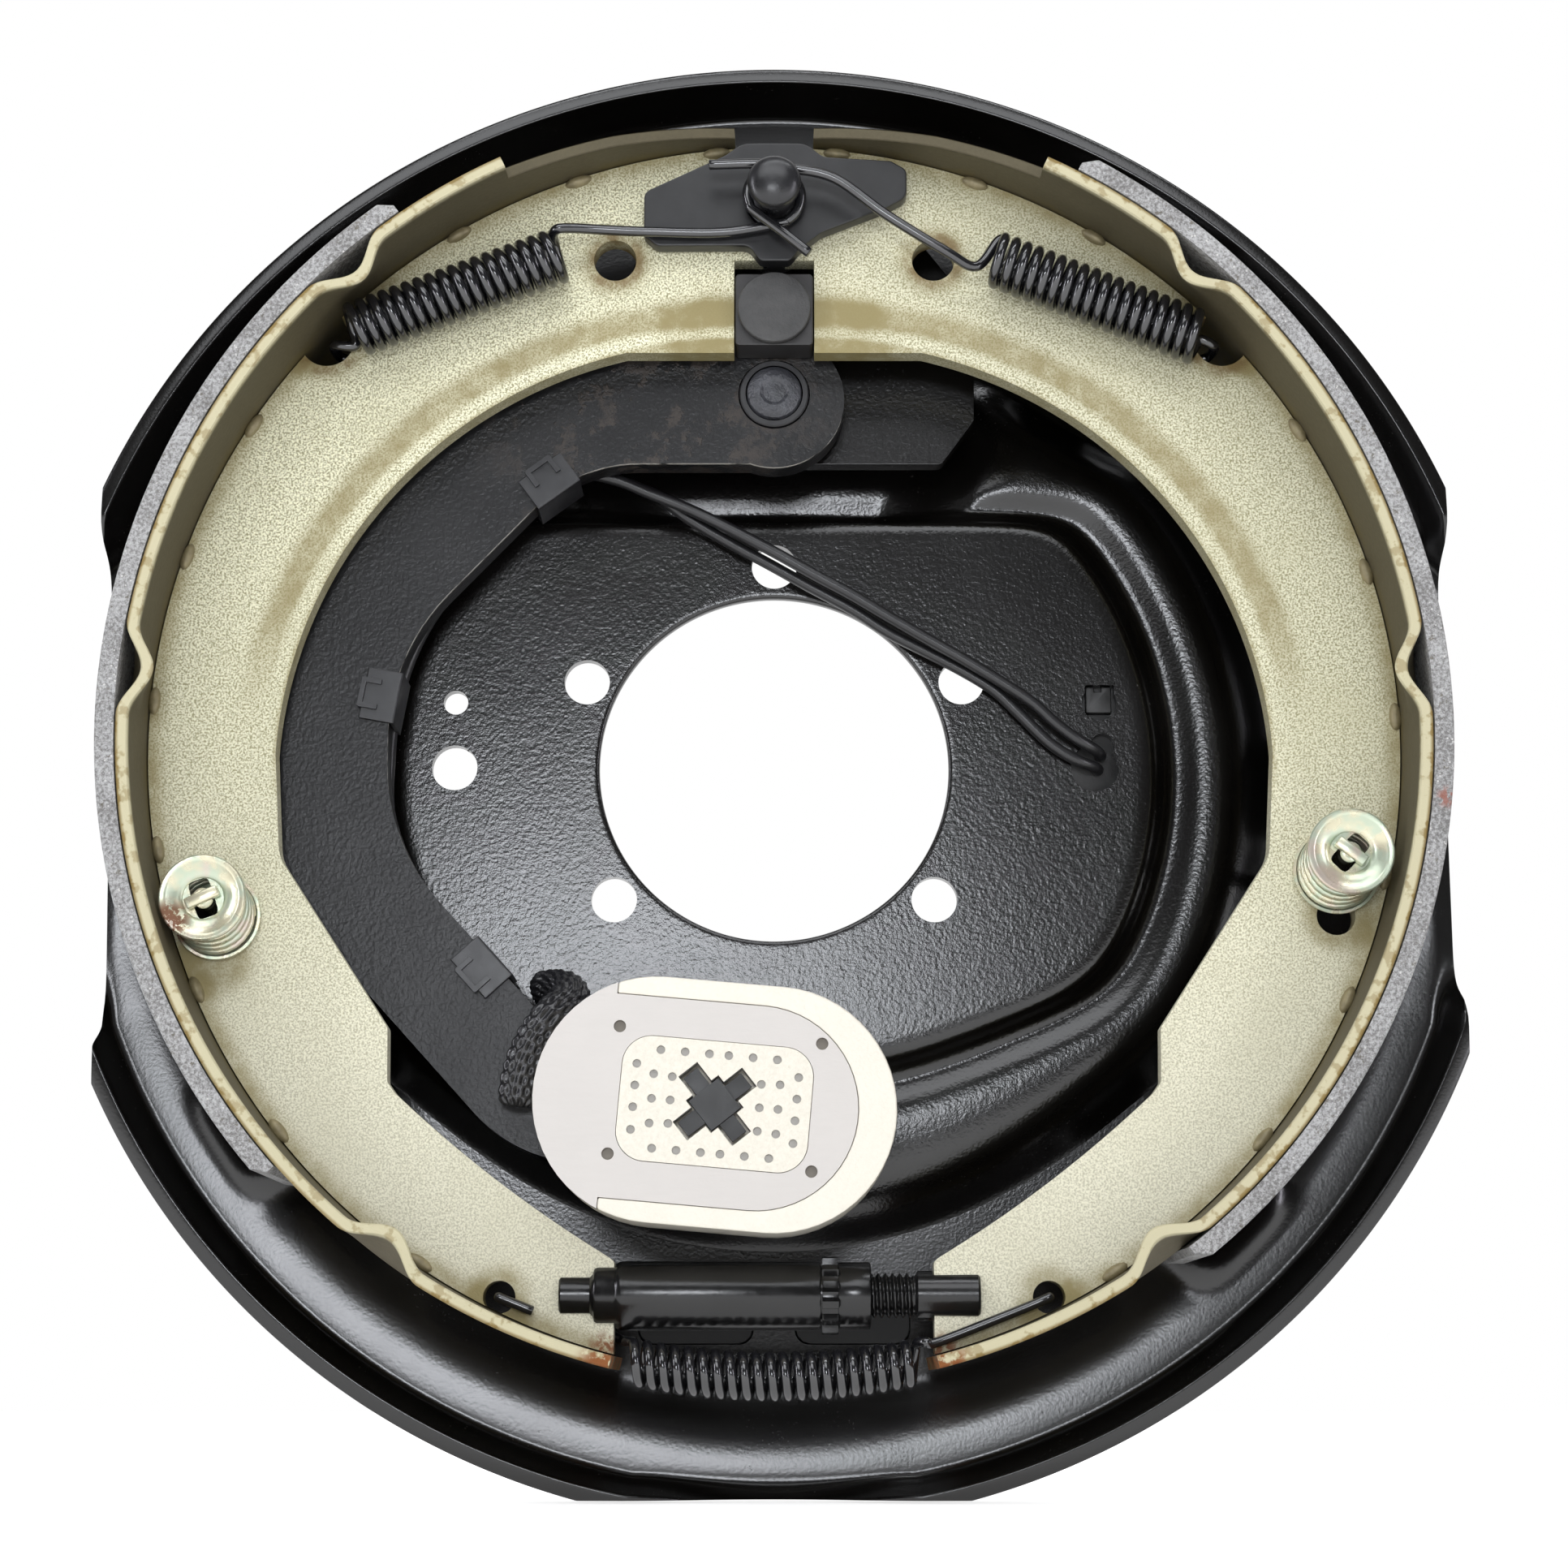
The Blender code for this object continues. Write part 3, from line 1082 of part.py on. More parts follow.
def make_table(name, side, frame):
    rings = []
    for degrees in table_angles():
        dip = nib_dip(degrees)
        back = heel_cut(degrees)
        rear, front = SHOE_REAR + back, SHOE_FRONT - back
        reach = min(NIB_REACH, (front - rear) * 0.3)
        rows = [(rear, 1.0), (rear + reach, 0.0), (front - reach, 0.0), (front, 1.0)]
        ring = []
        for radius, order in ((TABLE_OUTER, rows), (TABLE_INNER, rows[::-1])):
            for height, share in order:
                x, y = shoe_point(degrees, radius - dip * share)
                ring.append((side * x, y, height))
        rings.append(ring)
    place(loft(name, rings, smooth=30), frame, "zinc")


def make_lining(name, span, frame):
    first, last = span
    steps = 26
    chamfer = 3.0 * MM
    nose = math.degrees(chamfer / SHOE_RADIUS)
    direction = 1 if last > first else -1
    inner = TABLE_OUTER + TOUCH
    rings = []
    stations = [(first, 0.45)]
    for k in range(steps + 1):
        angle = first + direction * nose + (last - first - 2 * direction * nose) * k / steps
        stations.append((angle, 1.0))
    stations.append((last, 0.45))
    for angle, share in stations:
        outer = inner + (SHOE_RADIUS - inner) * share
        ring = []
        for radius, height in ((inner, SHOE_REAR), (inner, SHOE_FRONT), (outer, SHOE_FRONT), (outer, SHOE_REAR)):
            x, y = shoe_point(angle, radius)
            ring.append((x, y, height))
        rings.append(ring)
    place(loft(name, rings, smooth=25), frame, "lining")


# Adjuster
def across_adjuster(name, profile, segments=18, hollow=False):
    return turned(name, profile, (0, ADJUSTER_Y, ADJUSTER_DEPTH), (1, 0, 0), segments, hollow)


def clevis_slot(x0, x1):
    """The slot that takes the end of a web."""
    half = WEB_THICKNESS / 2 + SLIP
    reach = CLEVIS_RADIUS + 4 * MM
    outline = [(x0, ADJUSTER_Y - reach), (x1, ADJUSTER_Y - reach), (x1, ADJUSTER_Y + reach),
               (x0, ADJUSTER_Y + reach)]
    return prism("clevis_slot", outline, ADJUSTER_DEPTH - half, ADJUSTER_DEPTH + half)


JOURNAL_RADIUS = THREAD_RADIUS + SLIP + 0.9 * MM
BARREL_BORE = JOURNAL_RADIUS + SLIP


def make_adjuster():
    profile = [(CLEVIS_LEFT, CLEVIS_RADIUS - 0.4 * MM), (CLEVIS_LEFT + 0.4 * MM, CLEVIS_RADIUS),
               (CLEVIS_LEFT + 7.0 * MM, CLEVIS_RADIUS), (CLEVIS_LEFT + 7.6 * MM, BARREL_RADIUS - 0.7 * MM),
               (BARREL_LEFT - 0.6 * MM, BARREL_RADIUS - 0.7 * MM), (BARREL_LEFT, BARREL_RADIUS),
               (BARREL_RIGHT - 0.3 * MM, BARREL_RADIUS), (BARREL_RIGHT, BARREL_RADIUS - 0.3 * MM),
               (BARREL_RIGHT, BARREL_BORE), (-22 * MM, BARREL_BORE), (-24 * MM, 1.0 * MM)]
    socket = across_adjuster("adjuster_socket", profile)
    subtract(socket, [clevis_slot(CLEVIS_LEFT - MM, -WEB_TOE_X + TOUCH)])
    place(socket, still, "black_steel")

    star = BARREL_RIGHT + TOUCH
    collar = star + STAR_WIDTH
    collar_end = collar + COLLAR_LENGTH
    bore = THREAD_RADIUS + SLIP
    body = across_adjuster("star_wheel", [
        (-20 * MM, bore), (-20 * MM, JOURNAL_RADIUS), (star, JOURNAL_RADIUS), (star, STAR_RADIUS - 1.6 * MM),
        (collar, STAR_RADIUS - 1.6 * MM), (collar, BARREL_RADIUS - 0.2 * MM),
        (collar_end - 0.4 * MM, BARREL_RADIUS - 0.2 * MM), (collar_end, BARREL_RADIUS - 0.6 * MM),
        (collar_end, bore)], hollow=True)
    rings = []
    for x in (star, collar):
        ring = []
        for k in range(STAR_TEETH * 4):
            turn = math.tau * k / (STAR_TEETH * 4)
            radius = STAR_RADIUS if k % 4 in (0, 1) else STAR_RADIUS - 1.3 * MM
            ring.append((x, ADJUSTER_Y + radius * math.cos(turn), ADJUSTER_DEPTH + radius * math.sin(turn)))
        rings.append(ring)
    teeth = loft("teeth", rings, smooth=None)
    tunnel = across_adjuster("tunnel", [(star - MM, bore + 0.4 * MM), (collar + MM, bore + 0.4 * MM)])
    subtract(teeth, [tunnel])
    place(join_pieces("star_wheel", [body, teeth]), adjuster_axis, "black_steel")

    screw = across_adjuster("adjuster_screw", [
        (-16 * MM, THREAD_RADIUS - 0.8 * MM), (-15.2 * MM, THREAD_RADIUS), (SCREW_SHOULDER, THREAD_RADIUS),
        (SCREW_SHOULDER + 0.3 * MM, CLEVIS_RADIUS + 0.5 * MM),
        (CLEVIS_RIGHT - 0.4 * MM, CLEVIS_RADIUS + 0.5 * MM), (CLEVIS_RIGHT, CLEVIS_RADIUS + 0.1 * MM)])
    subtract(screw, [clevis_slot(WEB_TOE_X - TOUCH, CLEVIS_RIGHT + MM)])
    place(screw, adjuster_axis, "black_steel")


# Springs
HOOK_DEPTH_LOW = WEB_FRONT + TOUCH + GUIDE_THICKNESS + SPRING_WIRE + 1.0 * MM
COIL_DEPTH = WEB_FRONT + TOUCH + COIL_RADIUS + SPRING_WIRE


def coil_ends(side, offset, reach):
    """Both ends of a return spring's coil: its outer end beside the notch, and its reach inwards."""
    x, y = shoe_point(SPRING_NOTCH_ANGLE, WEB_OUTER - 3.4 * MM)
    outer = (x + offset[0], y + offset[1])
    return outer, (outer[0] - reach[0], outer[1] + reach[1])


def coil_line(side, outer, inner):
    """The middle line of a return spring's coil."""
    return lambda share: (side * (outer[0] + (inner[0] - outer[0]) * share),
                          outer[1] + (inner[1] - outer[1]) * share, COIL_DEPTH)


def notch_hook(side, coil_start):
    """The short hook that goes through the web's notch at the table."""
    x, y = shoe_point(SPRING_NOTCH_ANGLE, WEB_OUTER - 3.4 * MM)
    behind = WEB_REAR - TOUCH - SPRING_WIRE
    return [Vector((side * (x - 8.0 * MM), y - 3.4 * MM, behind)),
            Vector((side * (x - 2.0 * MM), y - 1.0 * MM, behind)),
            Vector((side * (x - 0.4 * MM), y - 0.4 * MM, behind + 1.4 * MM)),
            Vector((side * (x - 0.4 * MM), y - 0.4 * MM, WEB_FRONT + 0.6 * MM)),
            coil_start + Vector((side * 1.4 * MM, 0, -2.0 * MM))]


def make_primary_spring():
    outer, inner = coil_ends(-1, (-4.0 * MM, 0.61 * MM), (49.6 * MM, 19.2 * MM))
    coil = coil_along(coil_line(-1, outer, inner), COIL_RADIUS, RETURN_TURNS, 180)
    lead_in = notch_hook(-1, coil[0])
    last = coil[-1]
    low = HOOK_DEPTH_LOW
    run = [last + Vector((1.6 * MM, 1.6 * MM, 1.4 * MM)), Vector((4.0 * MM - inner[0], inner[1] + 5.0 * MM, low - 1.6 * MM)),
           Vector((8.8 * MM - inner[0], inner[1] + 6.0 * MM, low - 0.4 * MM)),
           Vector((-0.6 * inner[0], ANCHOR_Y - 8.2 * MM, low)), Vector((-12.0 * MM, ANCHOR_Y - 8.4 * MM, low))]
    wrap = POST_NECK_RADIUS + SPRING_WIRE + TOUCH
    loop = []
    for k in range(15):
        turn = math.radians(-75 + 21 * k)
        rise = (SPRING_WIRE * 2 + 0.5 * MM) * k / 14
        loop.append(Vector((wrap * math.cos(turn), ANCHOR_Y + wrap * math.sin(turn), low + rise)))
    top = low + SPRING_WIRE * 2 + 0.5 * MM
    tail = [Vector((2.0 * MM, ANCHOR_Y - 9.6 * MM, top + 0.5 * MM)),
            Vector((8.0 * MM, ANCHOR_Y - 14.6 * MM, top + 0.5 * MM))]
    place(wire("primary_return_spring", lead_in + coil + run + loop + tail, SPRING_WIRE), still,
          "black_steel")


def make_secondary_spring():
    outer, inner = coil_ends(1, (-3.4 * MM, -1.19 * MM), (48.2 * MM, 19.8 * MM))
    coil = coil_along(coil_line(1, outer, inner), COIL_RADIUS, RETURN_TURNS, 180)
    lead_in = notch_hook(1, coil[0])
    last = coil[-1]
    high = HOOK_DEPTH_LOW + 4 * SPRING_WIRE + 0.8 * MM
    wrap = POST_NECK_RADIUS + SPRING_WIRE + TOUCH
    run = [last + Vector((-1.8 * MM, -1.2 * MM, 1.0 * MM)), Vector((inner[0] - 4.8 * MM, inner[1] - 2.6 * MM, high - 3.4 * MM)),
           Vector((inner[0] - 11.8 * MM, inner[1] + 0.4 * MM, high - 1.6 * MM)),
           Vector((0.5 * inner[0], ANCHOR_Y - 6.0 * MM, high - 0.4 * MM)),
           Vector((14.0 * MM, ANCHOR_Y + 2.8 * MM, high))]
    over = [Vector((wrap * math.cos(math.radians(a)), ANCHOR_Y + wrap * math.sin(math.radians(a)), high))
            for a in (58, 74, 90)]
    tail = [Vector((-6.0 * MM, ANCHOR_Y + wrap + 0.1 * MM, high)),
            Vector((-15.0 * MM, ANCHOR_Y + wrap - 0.2 * MM, high))]
    place(wire("secondary_return_spring", lead_in + coil + run + over + tail, SPRING_WIRE), still,
          "black_steel")


def make_adjuster_spring():
    depth = WEB_FRONT + TOUCH + TOE_WIRE + 0.4 * MM

    def spine(share):
        sag = 4 * share * (1 - share)
        return ((-31.0 + 62.6 * share) * MM, ADJUSTER_Y - (14.6 + 3.0 * sag) * MM, depth - 1.0 * MM)

    coil = coil_along(spine, TOE_COIL_RADIUS, TOE_TURNS, 0)
    rear = WEB_REAR - TOUCH - TOE_WIRE
    x, y = TOE_HOLE[0], TOE_HOLE[1]
    bend = 0.9 * MM
    lead_in = [Vector((-(x - 7.4 * MM), y - 3.0 * MM, depth)), Vector((-(x - bend), y - 0.4 * MM, depth)),
               Vector((-x, y, depth - bend)), Vector((-x, y, rear + bend)),
               Vector((-(x - bend), y - 0.3 * MM, rear)), Vector((-40.0 * MM, ADJUSTER_Y - 7.0 * MM, rear)),
               Vector((-34.0 * MM, ADJUSTER_Y - 9.6 * MM, rear + 0.4 * MM)),
               coil[0] + Vector((-1.6 * MM, 0.2 * MM, -2.4 * MM))]
    lead_out = [coil[-1] + Vector((1.8 * MM, 0, 1.4 * MM)), Vector((36.6 * MM, ADJUSTER_Y - 10.0 * MM, depth)),
                Vector((x - 6.0 * MM, y - 2.6 * MM, depth)), Vector((x - bend, y - 0.4 * MM, depth)),
                Vector((x, y, depth - bend)), Vector((x, y, rear + 0.6 * MM))]
    place(wire("adjuster_spring", lead_in + coil + lead_out, TOE_WIRE), still, "black_steel")


# Hold-downs
def make_holddown(word, nail, cup_frame):
    seat_low = WEB_FRONT + TOUCH
    centre = (nail[0], nail[1], 0)
    shank_top = CUP_REAR + 1.2 * MM + TOUCH
    pin = turned(word + "_holddown_pin", [(NAIL_REAR, 5.0 * MM), (PLATE_REAR - TOUCH, 5.6 * MM),
                                          (PLATE_REAR - TOUCH, NAIL_RADIUS), (shank_top + 0.8 * MM, NAIL_RADIUS)],
                 centre, (0, 0, 1), 12)
    length, width, height = NAIL_HEAD
    turn = math.radians(75 if word == "secondary" else 60)
    c, s = math.cos(turn), math.sin(turn)
    bar = [(nail[0] + c * x - s * y, nail[1] + s * x + c * y) for x, y in
           ((-length / 2, -width / 2), (length / 2, -width / 2), (length / 2, width / 2),
            (-length / 2, width / 2))]
    head = prism("head", bar, shank_top, shank_top + height)
    place(join_pieces(word + "_holddown_pin", [pin, head]), still, "yellow_zinc")

    inner = NAIL_RADIUS + SLIP
    seat = turned(word + "_holddown_seat", [
        (seat_low, inner), (seat_low, CUP_RADIUS - 0.8 * MM), (seat_low + 1.8 * MM, CUP_RADIUS - 0.4 * MM),
        (seat_low + 1.8 * MM, CUP_RADIUS - 1.4 * MM), (seat_low + 1.0 * MM, CUP_RADIUS - 1.8 * MM),
        (seat_low + 1.0 * MM, inner)], centre, (0, 0, 1), 16, hollow=True)
    place(seat, still, "yellow_zinc")

    spring_radius = 5.6 * MM
    wire_radius = 0.8 * MM
    low = seat_low + 1.0 * MM + TOUCH + wire_radius
    high = CUP_REAR - TOUCH - wire_radius
    turns = 5
    steps = 7
    points = []
    for k in range(turns * steps + 1):
        rise = min(1.0, max(0.0, (k / steps - 0.6) / (turns - 1.2)))
        turn = math.tau * k / steps
        points.append((nail[0] + spring_radius * math.cos(turn), nail[1] + spring_radius * math.sin(turn),
                       low + (high - low) * rise))
    place(wire(word + "_holddown_spring", points, wire_radius), still, "yellow_zinc")

    hole = NAIL_RADIUS + SLIP + 0.4 * MM
    low = CUP_REAR
    top = low + CUP_HEIGHT
    profile = [(low, hole), (low, 5.6 * MM), (top - 1.6 * MM, CUP_RADIUS - 1.6 * MM), (top - 1.2 * MM, CUP_RADIUS),
               (top, CUP_RADIUS), (top, CUP_RADIUS - 1.4 * MM), (low + 1.6 * MM, 5.4 * MM),
               (low + 1.2 * MM, 4.6 * MM), (low + 1.2 * MM, hole)]
    cup = turned(word + "_holddown_cup", profile, centre, (0, 0, 1), 20, hollow=True)
    place(cup, cup_frame, "yellow_zinc")


# Leads across the plate and behind it
LEAD_ROUTE_A = [(-43.2, 69.8, 8.5), (-36.5, 68.0, 8.3), (-30.4, 65.4, 8.2), (-20.1, 61.2, 8.0),
                (-9.8, 56.0, 8.2), (0.0, 50.6, 8.5), (9.9, 44.9, 8.4), (18.6, 40.2, 8.0), (27.0, 35.2, 7.4),
                (36.0, 30.0, 6.8), (45.4, 24.6, 6.4), (53.6, 19.6, 6.0), (61.2, 14.6, 5.4), (66.6, 9.8, 4.6),
                (72.0, 6.0, 3.6), (75.9, 4.1, 1.7), (77.5, 3.3, -0.8), (77.7, 3.2, -2.4)]
LEAD_ROUTE_B = [(-43.4, 73.4, 8.5), (-38.8, 70.2, 5.4), (-33.0, 67.6, 4.9), (-27.5, 65.2, 4.8),
                (-20.1, 59.6, 4.8), (-10.6, 52.8, 4.8), (-1.9, 47.8, 5.0), (7.9, 42.2, 5.0), (18.5, 36.8, 4.8),
                (27.0, 32.0, 4.4), (36.0, 27.4, 3.8), (45.4, 22.4, 3.4), (52.6, 17.8, 3.2), (58.1, 12.4, 3.2),
                (65.1, 5.4, 3.0), (71.0, 1.7, 2.4), (75.2, 0.3, 0.6), (76.8, -0.1, -1.4), (77.0, -0.2, -2.4)]
TAIL_ROUTE_A = [(78.2, 4.6, -13.6), (78.2, 4.4, -18.0), (78.4, 2.0, -23.0), (78.9, -4.0, -26.0),
                (79.6, -16.0, -27.0), (80.6, -34.0, -27.0), (81.4, -56.0, -26.6), (81.6, -80.0, -26.4),
                (81.0, -104.0, -26.2), (80.0, -130.0, -26.0)]
TAIL_ROUTE_B = [(77.2, 0.0, -13.6), (77.2, -0.4, -17.0), (77.0, -3.0, -20.6), (76.4, -9.0, -22.4),
                (75.8, -20.0, -23.0), (75.2, -38.0, -23.0), (74.8, -60.0, -22.8), (75.0, -84.0, -22.6),
                (75.8, -108.0, -22.4), (77.0, -136.0, -22.4)]


def make_leads():
    for name, route, steps in (("lead_wire_a", LEAD_ROUTE_A, 1), ("lead_wire_b", LEAD_ROUTE_B, 1),
                               ("lead_tail_a", TAIL_ROUTE_A, 2), ("lead_tail_b", TAIL_ROUTE_B, 2)):
        points = smooth_through([(x * MM, y * MM, z * MM) for x, y, z in route], steps)
        place(wire(name, points, LEAD_RADIUS, 2), still, "rubber")


def make_lead_clip():
    front = -SHEET - TOUCH
    rear = front - LEAD_CLIP_DEPTH + 0.2 * MM
    x0, x1 = LEAD_HOLE_X - 8.0 * MM, LEAD_HOLE_X + 4.6 * MM
    y0, y1 = -7.5 * MM, SMALL_HOLE_Y + 4.4 * MM
    corners = [(x0, y0), (x1, y0), (x1, y1), (x0, y1)]
    body = prism("lead_clip", rounded(corners, [4 * MM] * 4, degrees=30), rear, front)
    peg = rod("peg", (LEAD_HOLE_X, SMALL_HOLE_Y), CLIP_HOLE_RADIUS - TOUCH - 0.6 * MM, front - MM, -1.0 * MM, 14)
    place(join_pieces("lead_clip", [body, peg]), still, "black_plastic")


make_backing_plate()
make_slot_plugs()
make_bracket()
make_anchor_post()
make_guide_plate()
make_lever_pivot()
make_lever_arm()
make_cam()
make_arm_clips()
make_arm_leads()
make_sleeve()
make_magnet()
make_magnet_post()
make_magnet_spring()
make_web("primary_web", -1, primary_axis, PRIMARY_NAIL)
make_web("secondary_web", 1, secondary_axis, SECONDARY_NAIL)
make_table("primary_table", -1, primary_axis)
make_table("secondary_table", 1, secondary_axis)
make_lining("primary_lining", PRIMARY_LINING, primary_axis)
make_lining("secondary_lining", SECONDARY_LINING, secondary_axis)
make_adjuster()
make_primary_spring()
make_secondary_spring()
make_adjuster_spring()
make_holddown("primary", PRIMARY_NAIL, primary_cup_axis)
make_holddown("secondary", SECONDARY_NAIL, secondary_cup_axis)
make_leads()
make_lead_clip()
bpy.context.view_layer.update()
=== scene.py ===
"""Electric trailer brake, 12 inch by 2 inch, seen from the wheel side."""
import math

import bmesh
import bpy
import numpy as np
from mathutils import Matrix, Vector


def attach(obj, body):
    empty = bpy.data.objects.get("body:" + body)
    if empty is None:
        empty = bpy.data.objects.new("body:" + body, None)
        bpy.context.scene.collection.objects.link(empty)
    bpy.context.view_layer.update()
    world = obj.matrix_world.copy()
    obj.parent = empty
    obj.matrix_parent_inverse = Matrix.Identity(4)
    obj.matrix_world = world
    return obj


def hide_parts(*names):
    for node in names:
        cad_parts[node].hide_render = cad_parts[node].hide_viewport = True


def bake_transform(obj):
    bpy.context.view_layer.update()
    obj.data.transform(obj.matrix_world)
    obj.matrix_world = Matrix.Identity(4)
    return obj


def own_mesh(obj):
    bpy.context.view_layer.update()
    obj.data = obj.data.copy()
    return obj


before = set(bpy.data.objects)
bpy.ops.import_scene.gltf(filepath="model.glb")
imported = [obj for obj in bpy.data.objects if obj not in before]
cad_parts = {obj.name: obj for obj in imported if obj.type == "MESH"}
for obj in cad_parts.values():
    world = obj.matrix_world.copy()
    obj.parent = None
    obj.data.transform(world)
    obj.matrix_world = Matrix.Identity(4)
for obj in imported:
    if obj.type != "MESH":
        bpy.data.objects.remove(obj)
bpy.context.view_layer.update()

# The setting
# A pale floor under the brake and an even white surround, lit by five soft lamps.
# The camera stands in front and a little below the hub and looks up at it, as in the photograph.
HUB_DEPTH = 0.01555
HUB_HEIGHT = 0.1695
CAMERA_REACH = 0.752
CAMERA_PITCH = math.radians(11.2)
PHOTO_PIXELS = 1932


def stand(points):
    """Bench coordinates (x, up the plate, out of the plate) in millimetres to the standing brake in metres."""
    p = np.asarray(points, float) * 0.001
    return np.stack([p[..., 0], HUB_DEPTH - p[..., 2], HUB_HEIGHT + p[..., 1]], axis=-1)


camera = bpy.data.objects.new("camera", bpy.data.cameras.new("camera"))
bpy.context.collection.objects.link(camera)
camera.location = (0, HUB_DEPTH - CAMERA_REACH * math.cos(CAMERA_PITCH),
                   HUB_HEIGHT - CAMERA_REACH * math.sin(CAMERA_PITCH))
camera.rotation_euler = (math.pi / 2 + CAMERA_PITCH, 0, 0)
camera.data.sensor_width = 36
camera.data.lens = 72.76
camera.data.shift_x = 12.1 / PHOTO_PIXELS
camera.data.shift_y = -20.0 / PHOTO_PIXELS
camera.data.clip_start = 0.01
bpy.context.scene.camera = camera
bpy.context.scene.view_settings.view_transform = "Standard"


def lamp(name, place, target, size, power, colour=(1, 1, 1)):
    """A rectangular soft lamp that faces a point of the brake."""
    light = bpy.data.lights.new(name, "AREA")
    light.shape = "RECTANGLE"
    light.size, light.size_y = size
    light.energy = power
    light.color = colour
    holder = bpy.data.objects.new(name, light)
    bpy.context.collection.objects.link(holder)
    holder.location = place
    holder.rotation_euler = (Vector(target) - Vector(place)).to_track_quat("-Z", "Y").to_euler()


lamp("soft_box", (-0.10, -1.15, 1.15), (0, 0, 0.17), (1.3, 0.62), 8.0, (0.95, 0.97, 1.0))
lamp("front_lamp", (-0.10, -1.60, 0.31), (0, 0, 0.12), (0.38, 0.20), 4.7, (0.92, 0.95, 1.0))
lamp("top_lamp", (0.10, -0.50, 1.25), (0, 0, 0.2), (1.1, 0.12), 3.5, (0.95, 0.97, 1.0))
lamp("left_lamp", (-1.10, -0.62, 0.40), (0, 0, 0.17), (0.14, 0.8), 4.5, (0.92, 0.92, 1.0))
lamp("right_lamp", (1.10, -0.85, 0.22), (0, 0, 0.17), (0.14, 0.8), 4.0, (0.92, 0.90, 1.0))


class Value:
    """A number on its way through a material. Arithmetic on it adds Math nodes."""

    def __init__(self, finish, socket):
        self.finish = finish
        self.socket = socket

    def math(self, operation, *others):
        inputs = dict(enumerate((self, *others)))
        return self.finish.node("Math", {"operation": operation}, inputs)

    def __add__(self, other):
        return self.math("ADD", other)

    def __mul__(self, other):
        return self.math("MULTIPLY", other)

    def __sub__(self, other):
        return self.math("SUBTRACT", other)

    def __rsub__(self, other):
        return self.finish.node("Math", {"operation": "SUBTRACT"}, {0: other, 1: self})

    def __pow__(self, other):
        return self.math("POWER", other)

    __radd__ = __add__
    __rmul__ = __mul__

    def ramp(self, low, high):
        """0 below low, 1 above high, smooth between them; the other way round if low is larger."""
        return self.finish.node("MapRange", {"interpolation_type": "SMOOTHSTEP", "clamp": True},
                                {"Value": self, "From Min": low, "From Max": high})


class Finish:
    """One material: a Principled shader and the nodes that feed it."""

    def __init__(self, name, **sockets):
        self.material = bpy.data.materials.new(name)
        self.material.use_nodes = True
        self.tree = self.material.node_tree
        self.shader = self.tree.nodes["Principled BSDF"]
        self.place = self.node("TexCoord", {}, {}, "Object")
        self.set(**sockets)

    def node(self, kind, settings, inputs, output=0):
        """Add a node: its settings first, then the values or links of its sockets."""
        made = self.tree.nodes.new("ShaderNode" + kind)
        for key, value in settings.items():
            setattr(made, key, value)
        for key, value in inputs.items():
            self.feed(made.inputs[key], value)
        return Value(self, made.outputs[output])

    def feed(self, socket, value):
        if isinstance(value, Value):
            self.tree.links.new(value.socket, socket)
        elif socket.type == "RGBA":
            socket.default_value = (*value, 1.0)
        else:
            socket.default_value = value

    def set(self, **sockets):
        """Set the shader's sockets, with an underscore for each space in a name."""
        for key, value in sockets.items():
            self.feed(self.shader.inputs[key.replace("_", " ")], value)
        return self

    def noise(self, size, detail=3, rough=0.55, where=None):
        """Cloudy noise with lumps of about this size in metres."""
        return self.node("TexNoise", {}, {"Vector": where or self.place, "Scale": 1.0 / size,
                                          "Detail": detail, "Roughness": rough})

    def mix(self, share, first, second):
        """A colour between two, by a share from 0 to 1."""
        return self.node("Mix", {"data_type": "RGBA"}, {0: share, 6: first, 7: second}, 2)

    def bump(self, height, distance):
        """Raise the surface by a height from 0 to 1 times a distance in metres."""
        return self.set(Normal=self.node("Bump", {}, {"Height": height, "Distance": distance, "Strength": 1.0}))

    def axis(self, letter):
        """One coordinate of the brake, in metres."""
        return self.node("SeparateXYZ", {}, {0: self.place}, letter)

    def reach(self, x, y):
        """Distance in the plane of the plate from a bench point given in millimetres."""
        across = self.axis("X") - x * 0.001
        up = self.axis("Z") - (HUB_HEIGHT + y * 0.001)
        return (across * across + up * up) ** 0.5


ground = bpy.data.meshes.new("floor")
ground.from_pydata([(x, y, -0.0006) for x, y in ((-4, -4), (4, -4), (4, 4), (-4, 4))], [], [(0, 1, 2, 3)])
floor = bpy.data.objects.new("floor", ground)
bpy.context.collection.objects.link(floor)
paper = Finish("floor_paper", Base_Color=(0.85, 0.85, 0.85), Roughness=0.9, Emission_Strength=1.0)
ray = paper.tree.nodes.new("ShaderNodeLightPath")
shown = Value(paper, ray.outputs["Is Camera Ray"]).math("MAXIMUM", Value(paper, ray.outputs["Is Glossy Ray"]))
shown = shown.math("MAXIMUM", Value(paper, ray.outputs["Is Transmission Ray"]))
paper.set(Emission_Color=paper.mix(shown, (0.0, 0.0, 0.0), (0.68, 0.68, 0.68)))
ground.materials.append(paper.material)

# The surround is white where the camera looks and behind the brake, and dim on the camera's side, so
# that the black paint mirrors a dark room and the lamps.
world = bpy.data.worlds.new("surround")
bpy.context.scene.world = world
world.use_nodes = True


class Surround(Finish):
    """The node tree of the world, with the same short way of adding nodes."""

    def __init__(self, tree):
        self.tree = tree


